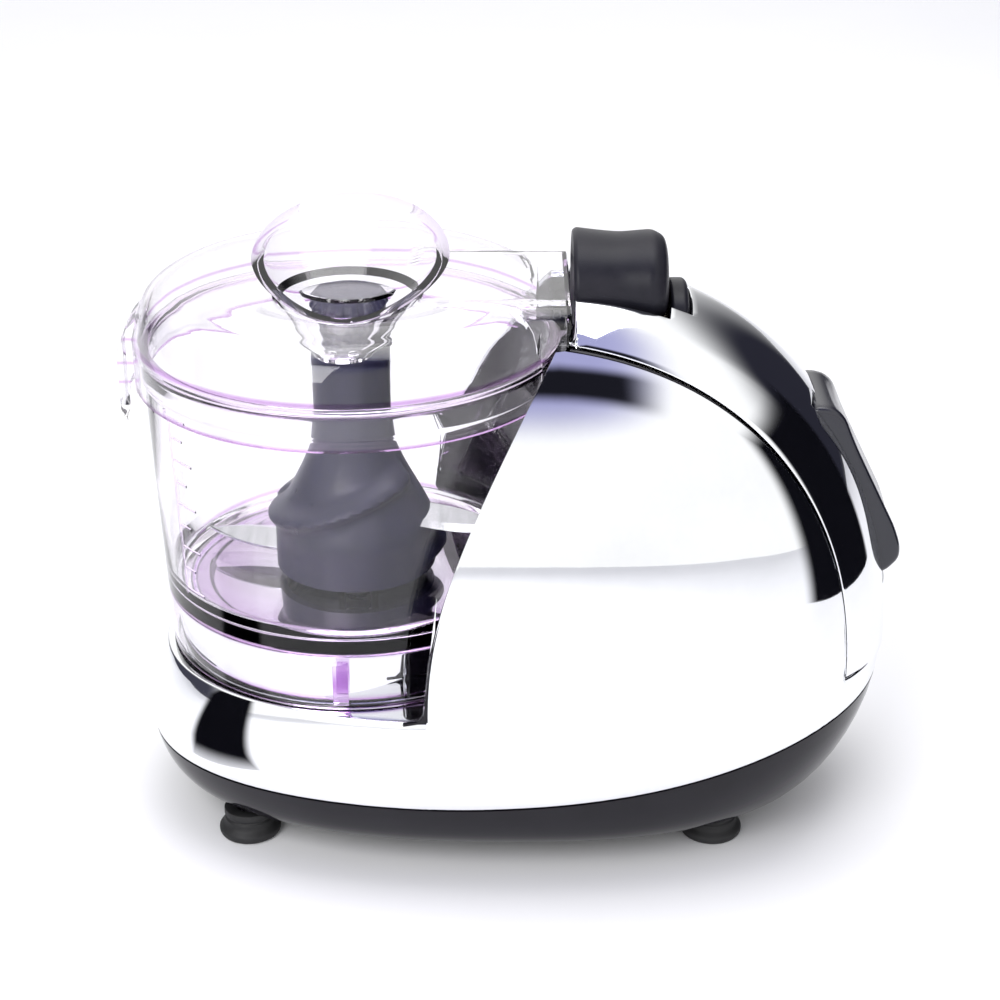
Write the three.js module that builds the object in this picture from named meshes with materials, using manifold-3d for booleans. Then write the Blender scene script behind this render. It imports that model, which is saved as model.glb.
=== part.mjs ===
// Mini food processor: a clear chopping bowl with a lift-off lid and blade, on a plated motor base.
// Millimetres, +Z up, the front (bowl end) towards -Y, the operator's paddle towards +Y.
// Everything is placed about the bowl's axis (x = 0, y = 0); the group is then centred lengthwise.
import * as THREE from "three";
import { mergeVertices } from "three/addons/utils/BufferGeometryUtils.js";
import Module from "manifold-3d";

const wasm = await Module();
wasm.setup();

// ---- Driving dimensions ----
const GAP = 0.3; // between fixed pieces that touch
const CLEAR = 0.6; // between pieces that move past each other

const BOWL_RIM_R = 62;
const BOWL_FOOT_R = 57.6;
const BOWL_WALL = 2;
const BOWL_FLOOR = 2.4;
const SKIRT_HEIGHT = 20;
const BOWL_DEPTH = 74;
const LID_WALL = 1.7;
const LID_SKIRT = 13.5;
const LID_RISE = 15.5;

const FOOT_HEIGHT = 8;
const FOOT_FLANGE_R = 9.6;
const FOOT_NECK_R = 7.8;
const SHELF_Z = 55;
const HOUSING_WALL = 2.5;
const HOUSING_TOP = 171;
const HOUSING_REAR = 163;
const HOUSING_CENTRE_Y = 50;
const HOUSING_HALF_WIDTH = 66;
const HIP_BULGE = 3; // how far the sides swell below the shelf
const HIP_Z = 36;
const NOSE_BULGE = 6.5; // how far the front swells below the shelf
const BOTTOM_ROUND = 18;
const REAR_ROUND = 28; // the back tucks in further under the paddle
const REAR_ROUND_Z = 52;
const REAR_ROUND_POWER = 1.6;
const PLAN_POWER = 2.4; // roundness of the plan outline, 2 is an ellipse
const DOME_POWER = 2.2; // roundness of the dome's side and end profiles
const SPLIT_FRONT_Z = 27;
const SPLIT_REAR_Z = 49;
const BAND_HALF_WIDTH = 32; // behind the lid
const BAND_FOOT_HALF = 39; // at the foot of the back
const TRIM_WIDTH = 1.6;

const SLEEVE_R = 14; // half its height
const SLEEVE_HALF_WIDTH = 18.5;
const SLEEVE_LENGTH = 28;
const BUTTON_R = 7.6; // half its height
const BUTTON_HALF_WIDTH = 13;
const BUTTON_LENGTH = 5.4;
const BUTTON_TRAVEL = 2.5;

const HUB_R = 12.3;
const HUB_SKIRT_R = 24.6;
const HUB_CAP_HEIGHT = 13;
const SPINDLE_R = 4;
const BUSH_WALL = 2.4;
const MOTOR_R = 26;
const MOTOR_HEIGHT = 62;
const ROTOR_R = 2.5;
const SMALL_PULLEY_R = 9;
const LARGE_PULLEY_R = 27;
const PULLEY_WIDTH = 8;
const BELT_THICKNESS = 1.6;
const PLATE_THICKNESS = 2.5;

const PADDLE_HALF_WIDTH = 16;
const PADDLE_DROP = 48.5; // from the pivot down to the paddle's lower edge
const PADDLE_SEAT = 3.89; // how far its top sits inside the dome
const PADDLE_SWEEP = 2.6; // room below it for the dip of its swing
const PIVOT_Z = 127;
const PIN_R = 1.6;
const GLAND_R = 6;
const GLAND_BORE_R = 3.8;
const TONGUE_REACH = 4.5;
const TONGUE_DROP = 13;
const TONGUE_HALF = 12;
const BRIDGE_HALF = 30;
const FUNNEL = {
  rimX: 34.5, rimY: 27.5, centreX: 5.2, centreY: 1.2, rimRise: 8, tilt: 0.22,
  footR: 7.2, footX: 28, footDrop: 13.6, wall: 1.7, taper: 0.22,
};

// ---- Places worked out from them ----
const arch = (t, power) => Math.pow(Math.max(0, 1 - Math.pow(t, power)), 1 / power);
const BOWL_FLOOR_Z = SHELF_Z + GAP + SKIRT_HEIGHT;
const BOWL_TOP_Z = BOWL_FLOOR_Z + BOWL_DEPTH;
const LID_R = BOWL_RIM_R + 0.4 + LID_WALL;
const LID_BOTTOM_Z = BOWL_TOP_Z - LID_SKIRT + 4;
const LID_SHOULDER_Z = LID_BOTTOM_Z + LID_SKIRT;
const LID_TOP_Z = LID_SHOULDER_Z + LID_RISE;
const RECESS_R = LID_R + 5;
const MOTOR_Y = RECESS_R + MOTOR_R + 2;
const TURRET_R = BOWL_FOOT_R - BOWL_WALL - 1.6;
const TURRET_TOP_Z = BOWL_FLOOR_Z - BOWL_FLOOR - GAP;
const TUB_FLOOR_Z = FOOT_HEIGHT + HOUSING_WALL;
const PULLEY_Z = TUB_FLOOR_Z + 3.5;
const PLATE_Z = PULLEY_Z + PULLEY_WIDTH + 3;
const MOTOR_Z = PLATE_Z + PLATE_THICKNESS + GAP;
const HUB_BOTTOM_Z = BOWL_FLOOR_Z + 1.5;
const HUB_TOP_Z = LID_TOP_Z - LID_WALL - 3.5;
const TUBE_R = SPINDLE_R + CLEAR + 2.2;
const TUBE_TOP_Z = BOWL_FLOOR_Z + 34;
const SLEEVE_Y = RECESS_R - 3.5;
const SLEEVE_Z = HOUSING_TOP - 2.5;
const SLEEVE_END_Y = SLEEVE_Y + SLEEVE_LENGTH;
const BUTTON_Y = SLEEVE_END_Y + 0.8;
const BUTTON_Z = SLEEVE_Z - 9;
const BRIDGE_END = SLEEVE_Y - CLEAR;
const STUB_END = SLEEVE_END_Y - 7;
const PIVOT_SHARE = arch((PIVOT_Z - SHELF_Z) / (HOUSING_TOP - SHELF_Z), DOME_POWER);
const PADDLE_Y = HOUSING_CENTRE_Y + (HOUSING_REAR - HOUSING_CENTRE_Y) * PIVOT_SHARE - PADDLE_SEAT;
const PIVOT_Y = PADDLE_Y - 6;
const GLAND_Z = SPLIT_REAR_Z - 20;
const SPINDLE_BOTTOM_Z = TUB_FLOOR_Z - 0.8;
const COUPLING_Z = TUBE_TOP_Z + 1;
const COUPLING_HALF = SPINDLE_R * 0.75; // its corners pass through the bowl's tube
const COUPLING_HEIGHT = 12;
const COLLAR_Z = HUB_TOP_Z - HUB_CAP_HEIGHT;
const HUB_ROOM_R = HUB_R + 2.6;
const HUB_ROOM_Z = LID_TOP_Z - LID_WALL - 1.6;
const WIRING_Z = TUB_FLOOR_Z + 4;
const TERMINALS = { x: [-25, -3], y: [MOTOR_Y + 22, MOTOR_Y + 30] };
const CAPACITOR = { x: [7, 25], y: [MOTOR_Y + 22, MOTOR_Y + 29] };
const SWITCH_Z = PIVOT_Z - PADDLE_DROP + 6.5;
const FOOT_X = 36;
const FEET_Y = [-33, 110];

// ---- Materials ----
const finish = (color, roughness, metalness = 0, opacity = 1) =>
  new THREE.MeshStandardMaterial({
    color, roughness, metalness, opacity, transparent: opacity < 1,
  });
const chrome = finish(0xdfe3e8, 0.06, 1);
const steel = finish(0xb9bdc2, 0.3, 1);
const clear = finish(0xe9e2f2, 0.05, 0, 0.35);
const slate = finish(0x2b2c3a, 0.45);
const softBlack = finish(0x1c1c22, 0.6);
const glossBlack = finish(0x0c0a10, 0.12);
const rubber = finish(0x111113, 0.85);
const nylon = finish(0xd8d4c6, 0.55);
const copper = finish(0xb5714a, 0.4, 1);

// ---- Solids: joining and cutting ----
function solid(geometry) {
  const bare = geometry.clone();
  bare.deleteAttribute("normal");
  bare.deleteAttribute("uv");
  const merged = mergeVertices(bare, 1e-4);
  const build = (order) => {
    const index = merged.index.array;
    const triVerts = new Uint32Array(index.length);
    for (let i = 0; i < index.length; i += 3) {
      order.forEach((from, to) => {
        triVerts[i + to] = index[i + from];
      });
    }
    const vertProperties = merged.attributes.position.array;
    return new wasm.Manifold(new wasm.Mesh({ numProp: 3, vertProperties, triVerts }));
  };
  const made = build([0, 1, 2]);
  return made.volume() < 0 ? build([0, 2, 1]) : made;
}

function geometryOf(shape) {
  const mesh = shape.getMesh();
  const geometry = new THREE.BufferGeometry();
  const place = new THREE.BufferAttribute(new Float32Array(mesh.vertProperties), 3);
  geometry.setAttribute("position", place);
  geometry.setIndex(new THREE.BufferAttribute(new Uint32Array(mesh.triVerts), 1));
  geometry.computeVertexNormals();
  return geometry;
}

const group = new THREE.Group();
function piece(name, shape, material) {
  const mesh = new THREE.Mesh(geometryOf(shape), material);
  mesh.name = name;
  group.add(mesh);
}

const joined = (...shapes) => shapes.reduce((a, b) => a.add(b));

function block(x, y, z) {
  const box = new THREE.BoxGeometry(x[1] - x[0], y[1] - y[0], z[1] - z[0]);
  return solid(box.translate((x[0] + x[1]) / 2, (y[0] + y[1]) / 2, (z[0] + z[1]) / 2));
}

function rod(radius, z0, z1, x = 0, y = 0, sides = 24) {
  const cylinder = new THREE.CylinderGeometry(radius, radius, z1 - z0, sides);
  return solid(cylinder.rotateX(Math.PI / 2).translate(x, y, (z0 + z1) / 2));
}

function rodAlongX(radius, x0, x1, y, z, sides = 16) {
  const cylinder = new THREE.CylinderGeometry(radius, radius, x1 - x0, sides);
  return solid(cylinder.rotateZ(Math.PI / 2).translate((x0 + x1) / 2, y, z));
}

function rodAlongY(radius, y0, y1, x, z, sides = 28) {
  const cylinder = new THREE.CylinderGeometry(radius, radius, y1 - y0, sides);
  return solid(cylinder.translate(x, (y0 + y1) / 2, z));
}

// A profile of [radius, height] pairs turned about the vertical through (x, y).
function turned(profile, x = 0, y = 0, sides = 48) {
  const points = profile.map(([r, z]) => new THREE.Vector2(r, z));
  const lathe = new THREE.LatheGeometry(points, sides);
  return solid(lathe.rotateX(Math.PI / 2).translate(x, y, 0));
}

// A closed ring or disc needs its first point again at the end when it does not touch the axis.
function turnedRing(profile, x = 0, y = 0, sides = 48) {
  return turned([...profile, profile[0]], x, y, sides);
}

// An outline of [y, z] points pushed out sideways from x0 to x1.
function plateAlongX(outline, x0, x1) {
  const shape = new THREE.Shape(outline.map(([y, z]) => new THREE.Vector2(y, z)));
  const depth = x1 - x0;
  const plate = new THREE.ExtrudeGeometry(shape, { depth, bevelEnabled: false });
  const turn = new THREE.Matrix4().makeBasis(
    new THREE.Vector3(0, 1, 0), new THREE.Vector3(0, 0, 1), new THREE.Vector3(1, 0, 0),
  );
  return solid(plate.applyMatrix4(turn).translate(x0, 0, 0));
}

// An outline of [x, y] points raised from z0 to z1.
function plateUp(outline, z0, z1) {
  const shape = new THREE.Shape(outline.map(([x, y]) => new THREE.Vector2(x, y)));
  const plate = new THREE.ExtrudeGeometry(shape, { depth: z1 - z0, bevelEnabled: false });
  return solid(plate.translate(0, 0, z0));
}

// ---- The body's envelope ----

// How far the back is drawn in at height z.
function rearInset(z) {
  const drop = Math.min(1, Math.max(0, (REAR_ROUND_Z - z) / (REAR_ROUND_Z - FOOT_HEIGHT)));
  return REAR_ROUND * (1 - arch(drop, REAR_ROUND_POWER));
}

// Half width, front and rear reach of the body's plan outline at height z.
function reachAt(z) {
  if (z >= SHELF_Z) {
    const share = arch((z - SHELF_Z) / (HOUSING_TOP - SHELF_Z), DOME_POWER);
    return {
      side: HOUSING_HALF_WIDTH * share,
      front: (HOUSING_CENTRE_Y + BOWL_FOOT_R + 1.5) * share,
      rear: (HOUSING_REAR - HOUSING_CENTRE_Y) * share,
    };
  }
  const rise = Math.max(0, (z - HIP_Z) / (SHELF_Z - HIP_Z));
  const drop = Math.min(1, Math.max(0, (HIP_Z - z) / (HIP_Z - FOOT_HEIGHT)));
  const bulge = 1 - Math.pow(rise, 1.6);
  const inset = BOTTOM_ROUND * (1 - arch(drop, DOME_POWER));
  return {
    side: HOUSING_HALF_WIDTH + HIP_BULGE * bulge - inset,
    front: HOUSING_CENTRE_Y + BOWL_FOOT_R + 1.5 + NOSE_BULGE * bulge - inset,
    rear: HOUSING_REAR - HOUSING_CENTRE_Y - rearInset(z),
  };
}

// The filled envelope, drawn in by `inset` all round.
function envelope(inset) {
  const levels = [0, 0.08, 0.25, 0.5, 0.75, 1].map((t) => FOOT_HEIGHT + (HIP_Z - FOOT_HEIGHT) * t);
  levels.push((HIP_Z + SHELF_Z) / 2, SHELF_Z);
  for (let i = 1; i <= 9; i += 1) {
    const climb = Math.sin((i / 9.3) * (Math.PI / 2));
    levels.push(SHELF_Z + (HOUSING_TOP - SHELF_Z) * climb);
  }
  const middle = (FOOT_HEIGHT + HOUSING_TOP) / 2;
  const half = (HOUSING_TOP - FOOT_HEIGHT) / 2;
  const drawnIn = (z) => middle + (z - middle) * ((half - inset) / half);
  const profile = [[0, levels[0]], ...levels.map((z) => [1, z]), [0, levels.at(-1)]];
  const points = profile.map(([r, z]) => new THREE.Vector2(r, z));
  const lathe = new THREE.LatheGeometry(points, 44).rotateX(Math.PI / 2);
  const place = lathe.attributes.position;
  for (let i = 0; i < place.count; i += 1) {
    const [x, y, z] = [place.getX(i), place.getY(i), place.getZ(i)];
    const r = Math.hypot(x, y);
    const reach = reachAt(z);
    const squared = (v) => Math.sign(v) * Math.pow(Math.abs(v), 2 / PLAN_POWER);
    const along = y < 0 ? reach.front : reach.rear;
    if (r < 0.5) place.setXYZ(i, 0, HOUSING_CENTRE_Y, drawnIn(z));
    else {
      const across = Math.max(1, reach.side - inset) * squared(x);
      place.setXYZ(i, across, HOUSING_CENTRE_Y + Math.max(1, along - inset) * squared(y), drawnIn(z));
    }
  }
  return solid(lathe);
}

// Everything below the parting line between tub and housing, which climbs towards the rear.
function belowSplit(shift) {
  const line = [];
  for (let i = 0; i <= 8; i += 1) {
    const y = 20 + ((HOUSING_REAR - 20) * i) / 8;
    line.push([y, SPLIT_FRONT_Z + (SPLIT_REAR_Z - SPLIT_FRONT_Z) * (i / 8) ** 2 + shift]);
  }
  const outline = [
    [-120, -20], [HOUSING_REAR + 60, -20], [HOUSING_REAR + 60, SPLIT_REAR_Z + shift],
    ...line.reverse(), [-120, SPLIT_FRONT_Z + shift],
  ];
  return plateAlongX(outline, -120, 120);
}

const outer = envelope(0);
const inner = envelope(HOUSING_WALL);
const shell = outer.subtract(inner);

// Room that the sleeve, the release button and the paddle take out of the housing.
const ovalAlongY = (radius, halfWidth, y0, y1, z, sides) =>
  rodAlongY(radius, y0, y1, 0, z, sides).scale([halfWidth / radius, 1, 1]);
const sleeveReach = SLEEVE_HALF_WIDTH + CLEAR;
const sleeveTrough = ovalAlongY(SLEEVE_R + CLEAR, sleeveReach, 0, SLEEVE_END_Y + 0.5, SLEEVE_Z)
  .add(block([-sleeveReach, sleeveReach], [0, SLEEVE_END_Y + 0.5], [SLEEVE_Z, 230]));
const buttonReach = BUTTON_R + CLEAR;
const buttonSide = BUTTON_HALF_WIDTH + CLEAR;
const buttonEnd = BUTTON_Y + BUTTON_LENGTH + CLEAR;
const buttonTrough = ovalAlongY(buttonReach, buttonSide, SLEEVE_END_Y, buttonEnd, BUTTON_Z - BUTTON_TRAVEL)
  .add(block([-buttonSide, buttonSide], [SLEEVE_END_Y, buttonEnd], [BUTTON_Z - BUTTON_TRAVEL, 230]));

// The band's plan: it widens evenly from behind the lid to the foot of the back.
function bandSlab(extra, lift = 0) {
  const [start, end] = [HOUSING_CENTRE_Y - 10, HOUSING_REAR + 60];
  const half = (y) => {
    const share = (y - BRIDGE_END) / (HOUSING_REAR - BRIDGE_END);
    return BAND_HALF_WIDTH + (BAND_FOOT_HALF - BAND_HALF_WIDTH) * share + extra;
  };
  const plan = [[-half(start), start], [half(start), start], [half(end), end], [-half(end), end]];
  return plateUp(plan, SPLIT_REAR_Z + 6 + lift, 230);
}

// Room for the bowl, and above it for the flat-ended bridge of the lid.
function recessRoom(step) {
  const half = BRIDGE_HALF + CLEAR + 1;
  return rod(RECESS_R - step, SHELF_Z, 260, 0, 0, 64)
    .add(block([-half, half], [0, BRIDGE_END + CLEAR], [LID_BOTTOM_Z - 3, 260]));
}

// ---- Lower case ----
function baseTub() {
  const wall = shell.intersect(belowSplit(0));
  let tub = wall;
  for (const y of FEET_Y) {
    for (const x of [-FOOT_X, FOOT_X]) {
      const boss = rod(FOOT_NECK_R + 2.2, FOOT_HEIGHT, TUB_FLOOR_Z + 7, x, y);
      tub = tub.add(boss.intersect(outer));
    }
  }
  for (const y of FEET_Y) {
    for (const x of [-FOOT_X, FOOT_X]) {
      tub = tub.subtract(rod(FOOT_NECK_R + GAP, -10, TUB_FLOOR_Z + 4, x, y));
      tub = tub.subtract(rod(1.9, 0, TUB_FLOOR_Z + 30, x, y, 8));
    }
  }
  for (const { x, y } of [TERMINALS, CAPACITOR]) {
    tub = tub.add(block(x, y, [FOOT_HEIGHT, WIRING_Z - GAP]).intersect(outer));
  }
  const bearingSeat = rod(SPINDLE_R + BUSH_WALL + 2.2, TUB_FLOOR_Z - 0.5, TUB_FLOOR_Z + 2.6);
  const gland = rodAlongY(GLAND_R + GAP, HOUSING_REAR - 30, HOUSING_REAR + 20, 0, GLAND_Z, 20);
  return tub.add(bearingSeat)
    .subtract(rod(SPINDLE_R + BUSH_WALL + GAP, TUB_FLOOR_Z - 1.2, TUB_FLOOR_Z + 6))
    .subtract(gland);
}

function cordGland() {
  const z = GLAND_Z;
  const wallY = HOUSING_REAR - rearInset(z);
  const flangeY = HOUSING_REAR - rearInset(z - GLAND_R - 2) - HOUSING_WALL - 2;
  const barrel = rodAlongY(GLAND_R, flangeY - 2.6, wallY + 1.6, 0, z, 20);
  const flange = rodAlongY(GLAND_R + 2, flangeY - 2.6, flangeY, 0, z, 20);
  return barrel.add(flange).subtract(rodAlongY(GLAND_BORE_R, wallY - 40, wallY + 20, 0, z, 20));
}

// ---- Upper case ----
function upperHousing() {
  const shelfDeck = envelope(HOUSING_WALL - 0.2)
    .intersect(block([-120, 120], [-120, RECESS_R + 0.6], [SHELF_Z - HOUSING_WALL, SHELF_Z]));
  const deckHole = rod(TURRET_R - 6, SHELF_Z - 20, SHELF_Z + 5, 0, 0, 40);
  return shell.subtract(belowSplit(GAP))
    .add(shelfDeck)
    .subtract(recessRoom(0))
    .subtract(deckHole)
    .subtract(bandSlab(TRIM_WIDTH + GAP))
    .subtract(sleeveTrough)
    .subtract(paddleSlot());
}

function spineBand() {
  return shell.intersect(bandSlab(-GAP))
    .subtract(block([-200, 200], [-200, 400], [0, SPLIT_REAR_Z + 6 + 2 * GAP]))
    .subtract(recessRoom(0))
    .subtract(sleeveTrough)
    .subtract(buttonTrough)
    .subtract(paddleSlot());
}

// A thin black edging fills each seam between the spine band and the side of the housing.
function bandTrim(side) {
  const half = side > 0 ? [0, 200] : [-200, 0];
  const strip = bandSlab(TRIM_WIDTH, GAP).subtract(bandSlab(0))
    .intersect(block(half, [0, 400], [0, 260]));
  return outer.subtract(envelope(HOUSING_WALL + 1.2)).intersect(strip).subtract(recessRoom(0));
}

// A dark curved wall closes the housing behind the bowl.
function recessLiner() {
  const ring = turnedRing([
    [RECESS_R - 2.6, SHELF_Z + GAP], [RECESS_R - GAP, SHELF_Z + GAP],
    [RECESS_R - GAP, HOUSING_TOP + 20], [RECESS_R - 2.6, HOUSING_TOP + 20],
  ], 0, 0, 64);
  const half = BRIDGE_HALF + CLEAR + 1;
  return ring.intersect(envelope(HOUSING_WALL + GAP))
    .intersect(block([-120, 120], [0, 120], [0, 260]))
    .subtract(block([-half, half], [0, BRIDGE_END + CLEAR], [LID_BOTTOM_Z - 3, 260]))
    .subtract(sleeveTrough);
}

function bowlTurret() {
  const wall = 2.4;
  const bore = SPINDLE_R + BUSH_WALL;
  return turnedRing([
    [bore + GAP, TURRET_TOP_Z - wall - 4], [bore + 2.4, TURRET_TOP_Z - wall - 4],
    [bore + 2.4, TURRET_TOP_Z - wall], [TURRET_R - wall, TURRET_TOP_Z - wall],
    [TURRET_R - wall, SHELF_Z + GAP], [TURRET_R, SHELF_Z + GAP],
    [TURRET_R, TURRET_TOP_Z - 1.5], [TURRET_R - 1.5, TURRET_TOP_Z],
    [bore + GAP, TURRET_TOP_Z],
  ], 0, 0, 44);
}

// ---- Feet ----
function foot(x, y) {
  return turned([
    [0, 0], [FOOT_FLANGE_R - 0.8, 0], [FOOT_FLANGE_R, 0.8], [FOOT_FLANGE_R, 2.2],
    [FOOT_NECK_R, 4.4], [FOOT_NECK_R, TUB_FLOOR_Z + 4 - GAP], [0, TUB_FLOOR_Z + 4 - GAP],
  ], x, y, 18)
    .subtract(rod(3.8, -1, TUB_FLOOR_Z - 4, x, y, 10))
    .subtract(rod(1.9, 1, TUB_FLOOR_Z + 20, x, y, 10));
}

function footScrew(x, y) {
  const seat = TUB_FLOOR_Z - 4;
  return turned([
    [0, seat - 2.4 - GAP], [3.2, seat - 2.4 - GAP], [3.2, seat - GAP], [1.5, seat - GAP],
    [1.5, TUB_FLOOR_Z + 12], [0, TUB_FLOOR_Z + 13.5],
  ], x, y, 8);
}

// ---- Drive ----
function chassisPlate() {
  const rear = PADDLE_Y - 7; // it reaches past the switch bracket's foot
  const outline = [
    [-30, -34], [30, -34], [44, -10], [44, 60], [36, rear], [-36, rear],
    [-44, 60], [-44, -10],
  ];
  return plateUp(outline, PLATE_Z, PLATE_Z + PLATE_THICKNESS)
    .intersect(envelope(HOUSING_WALL + 1))
    .subtract(rod(SPINDLE_R + BUSH_WALL + GAP, 0, 60))
    .subtract(rod(ROTOR_R + 3, 0, 60, 0, MOTOR_Y));
}

function motorCan() {
  return turnedRing([
    [ROTOR_R + 1.2, MOTOR_Z], [MOTOR_R - 1.5, MOTOR_Z], [MOTOR_R, MOTOR_Z + 1.5],
    [MOTOR_R, MOTOR_Z + MOTOR_HEIGHT], [MOTOR_R - 9, MOTOR_Z + MOTOR_HEIGHT],
    [MOTOR_R - 9, MOTOR_Z + MOTOR_HEIGHT - 2], [ROTOR_R + 1.2, MOTOR_Z + MOTOR_HEIGHT - 2],
  ], 0, MOTOR_Y, 28);
}

function motorEndCap() {
  const z = MOTOR_Z + MOTOR_HEIGHT + GAP;
  return turnedRing([
    [ROTOR_R + 1.2, z], [MOTOR_R - 1, z], [MOTOR_R - 1, z + 3], [ROTOR_R + 5, z + 6],
    [ROTOR_R + 1.2, z + 6],
  ], 0, MOTOR_Y, 22);
}

function motorBracket() {
  const z = MOTOR_Z + 10;
  const r = MOTOR_R + GAP;
  const ring = turnedRing([[r, z], [r + 2.4, z], [r + 2.4, z + 12], [r, z + 12]], 0, MOTOR_Y, 28);
  const leg = (side) => {
    const x0 = r + 1.4;
    const x = side > 0 ? [x0, x0 + 5] : [-x0 - 5, -x0];
    return block(x, [MOTOR_Y - 6, MOTOR_Y + 6], [PLATE_Z + PLATE_THICKNESS + GAP, z + 12]);
  };
  return joined(ring, leg(1), leg(-1));
}

function bush(z0, z1) {
  return turnedRing([
    [SPINDLE_R + 0.05, z0], [SPINDLE_R + BUSH_WALL, z0], [SPINDLE_R + BUSH_WALL, z1],
    [SPINDLE_R + 0.05, z1],
  ], 0, 0, 24);
}

function spindleSeal() {
  const [z0, z1] = [TURRET_TOP_Z - 2, TURRET_TOP_Z - 0.2];
  const [r0, r1] = [SPINDLE_R + 0.2, SPINDLE_R + BUSH_WALL];
  return turnedRing([[r0, z0], [r1, z0], [r1, z1], [r0, z1]], 0, 0, 20);
}

function spindleShaft() {
  return rod(SPINDLE_R, SPINDLE_BOTTOM_Z, COUPLING_Z - GAP, 0, 0, 24)
    .add(rod(SPINDLE_R / 2, COUPLING_Z - 2, COUPLING_Z + 5, 0, 0, 24));
}

function driveCoupling() {
  const h = COUPLING_HALF;
  return block([-h, h], [-h, h], [COUPLING_Z, COUPLING_Z + COUPLING_HEIGHT])
    .subtract(rod(SPINDLE_R / 2 + GAP, COUPLING_Z - 1, COUPLING_Z + 5 + GAP));
}

function grooved(radius, bore, x, y) {
  const [z0, z1] = [PULLEY_Z, PULLEY_Z + PULLEY_WIDTH];
  return turnedRing([
    [bore, z0], [radius + 1.6, z0], [radius + 1.6, z0 + 1], [radius, z0 + 1.6],
    [radius, z1 - 1.6], [radius + 1.6, z1 - 1], [radius + 1.6, z1], [bore, z1],
  ], x, y, 24);
}

function driveBelt() {
  const [z0, z1] = [PULLEY_Z + 2.1, PULLEY_Z + PULLEY_WIDTH - 2.1];
  const [big, small] = [LARGE_PULLEY_R + GAP, SMALL_PULLEY_R + GAP];
  const lean = Math.asin((big - small) / MOTOR_Y);
  const outlineAt = (extra) => {
    const outline = [];
    const steps = 12;
    for (let i = 0; i <= steps; i += 1) {
      const a = lean + (Math.PI - 2 * lean) * (i / steps);
      outline.push([(small + extra) * Math.cos(a), MOTOR_Y + (small + extra) * Math.sin(a)]);
    }
    for (let i = 0; i <= steps; i += 1) {
      const a = Math.PI - lean + (Math.PI + 2 * lean) * (i / steps);
      outline.push([(big + extra) * Math.cos(a), (big + extra) * Math.sin(a)]);
    }
    return outline;
  };
  return plateUp(outlineAt(BELT_THICKNESS), z0, z1).subtract(plateUp(outlineAt(0), z0 - 1, z1 + 1));
}

function motorShaft() {
  return rod(ROTOR_R, PULLEY_Z - 1, MOTOR_Z + MOTOR_HEIGHT + 16, 0, MOTOR_Y, 20);
}

function coolingFan() {
  const z = MOTOR_Z + MOTOR_HEIGHT + 9;
  const hub = turnedRing([
    [ROTOR_R + GAP, z], [7, z], [7, z + 6], [ROTOR_R + GAP, z + 6],
  ], 0, MOTOR_Y, 16);
  const blade = new THREE.BoxGeometry(MOTOR_R - 9, 6, 1.2);
  blade.rotateX(0.6).translate(6 + (MOTOR_R - 9) / 2, 0, z + 3);
  let fan = hub;
  for (let i = 0; i < 6; i += 1) {
    const turn = blade.clone().rotateZ((i * Math.PI) / 3).translate(0, MOTOR_Y, 0);
    fan = fan.add(solid(turn));
  }
  return fan.subtract(rod(ROTOR_R + GAP, z - 10, z + 20, 0, MOTOR_Y));
}

// ---- Switches, wiring and springs ----
function microswitch(x, y, z) {
  const body = block([x - 10, x + 10], [y - 3.2, y + 3.2], [z - 5, z + 5]);
  const lug = (dx) => rodAlongY(1.3, y - 10, y + 10, x + dx, z - 2.5, 12);
  return body.add(block([x - 2, x + 2], [y + 3, y + 4.4], [z - 1.5, z + 1.5]))
    .subtract(lug(-5)).subtract(lug(5));
}

function terminalBlock() {
  const { x, y } = TERMINALS;
  let made = block(x, y, [WIRING_Z, WIRING_Z + 8]);
  for (let i = 0; i < 3; i += 1) {
    made = made.subtract(rod(1.6, WIRING_Z + 3, WIRING_Z + 20, x[0] + 4 + i * 7, y[0] + 4, 10));
  }
  return made;
}

function capacitor() {
  return block(CAPACITOR.x, CAPACITOR.y, [WIRING_Z, WIRING_Z + 10]);
}

function coil(radius, wire, turns, height) {
  const points = [];
  const steps = Math.round(turns * 8);
  for (let i = 0; i <= steps; i += 1) {
    const a = (i / 8) * 2 * Math.PI;
    points.push(new THREE.Vector3(radius * Math.cos(a), radius * Math.sin(a), (height * i) / steps));
  }
  const path = new THREE.CatmullRomCurve3(points);
  const section = new THREE.Shape();
  section.absarc(0, 0, wire, 0, 2 * Math.PI);
  const options = { steps, extrudePath: path, curveSegments: 2, bevelEnabled: false };
  return new THREE.ExtrudeGeometry(section, options);
}

// ---- Paddle ----
const PADDLE_BACK = [
  [PADDLE_Y - 3, PIVOT_Z + 7], [PADDLE_Y + 7, PIVOT_Z + 5], [PADDLE_Y + 11.5, PIVOT_Z - 6],
  [PADDLE_Y + 18.5, PIVOT_Z - 20], [PADDLE_Y + 25, PIVOT_Z - 33], [PADDLE_Y + 27, PIVOT_Z - 39],
  [PADDLE_Y + 27, PIVOT_Z - PADDLE_DROP + 5], [PADDLE_Y + 22.5, PIVOT_Z - PADDLE_DROP],
];
const PADDLE_FRONT = [
  [PADDLE_Y + 16, PIVOT_Z - PADDLE_DROP], [PADDLE_Y + 12, PIVOT_Z - 38], [PADDLE_Y + 6, PIVOT_Z - 24],
  [PADDLE_Y + 1, PIVOT_Z - 10], [PADDLE_Y - 5, PIVOT_Z - 4],
];

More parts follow.
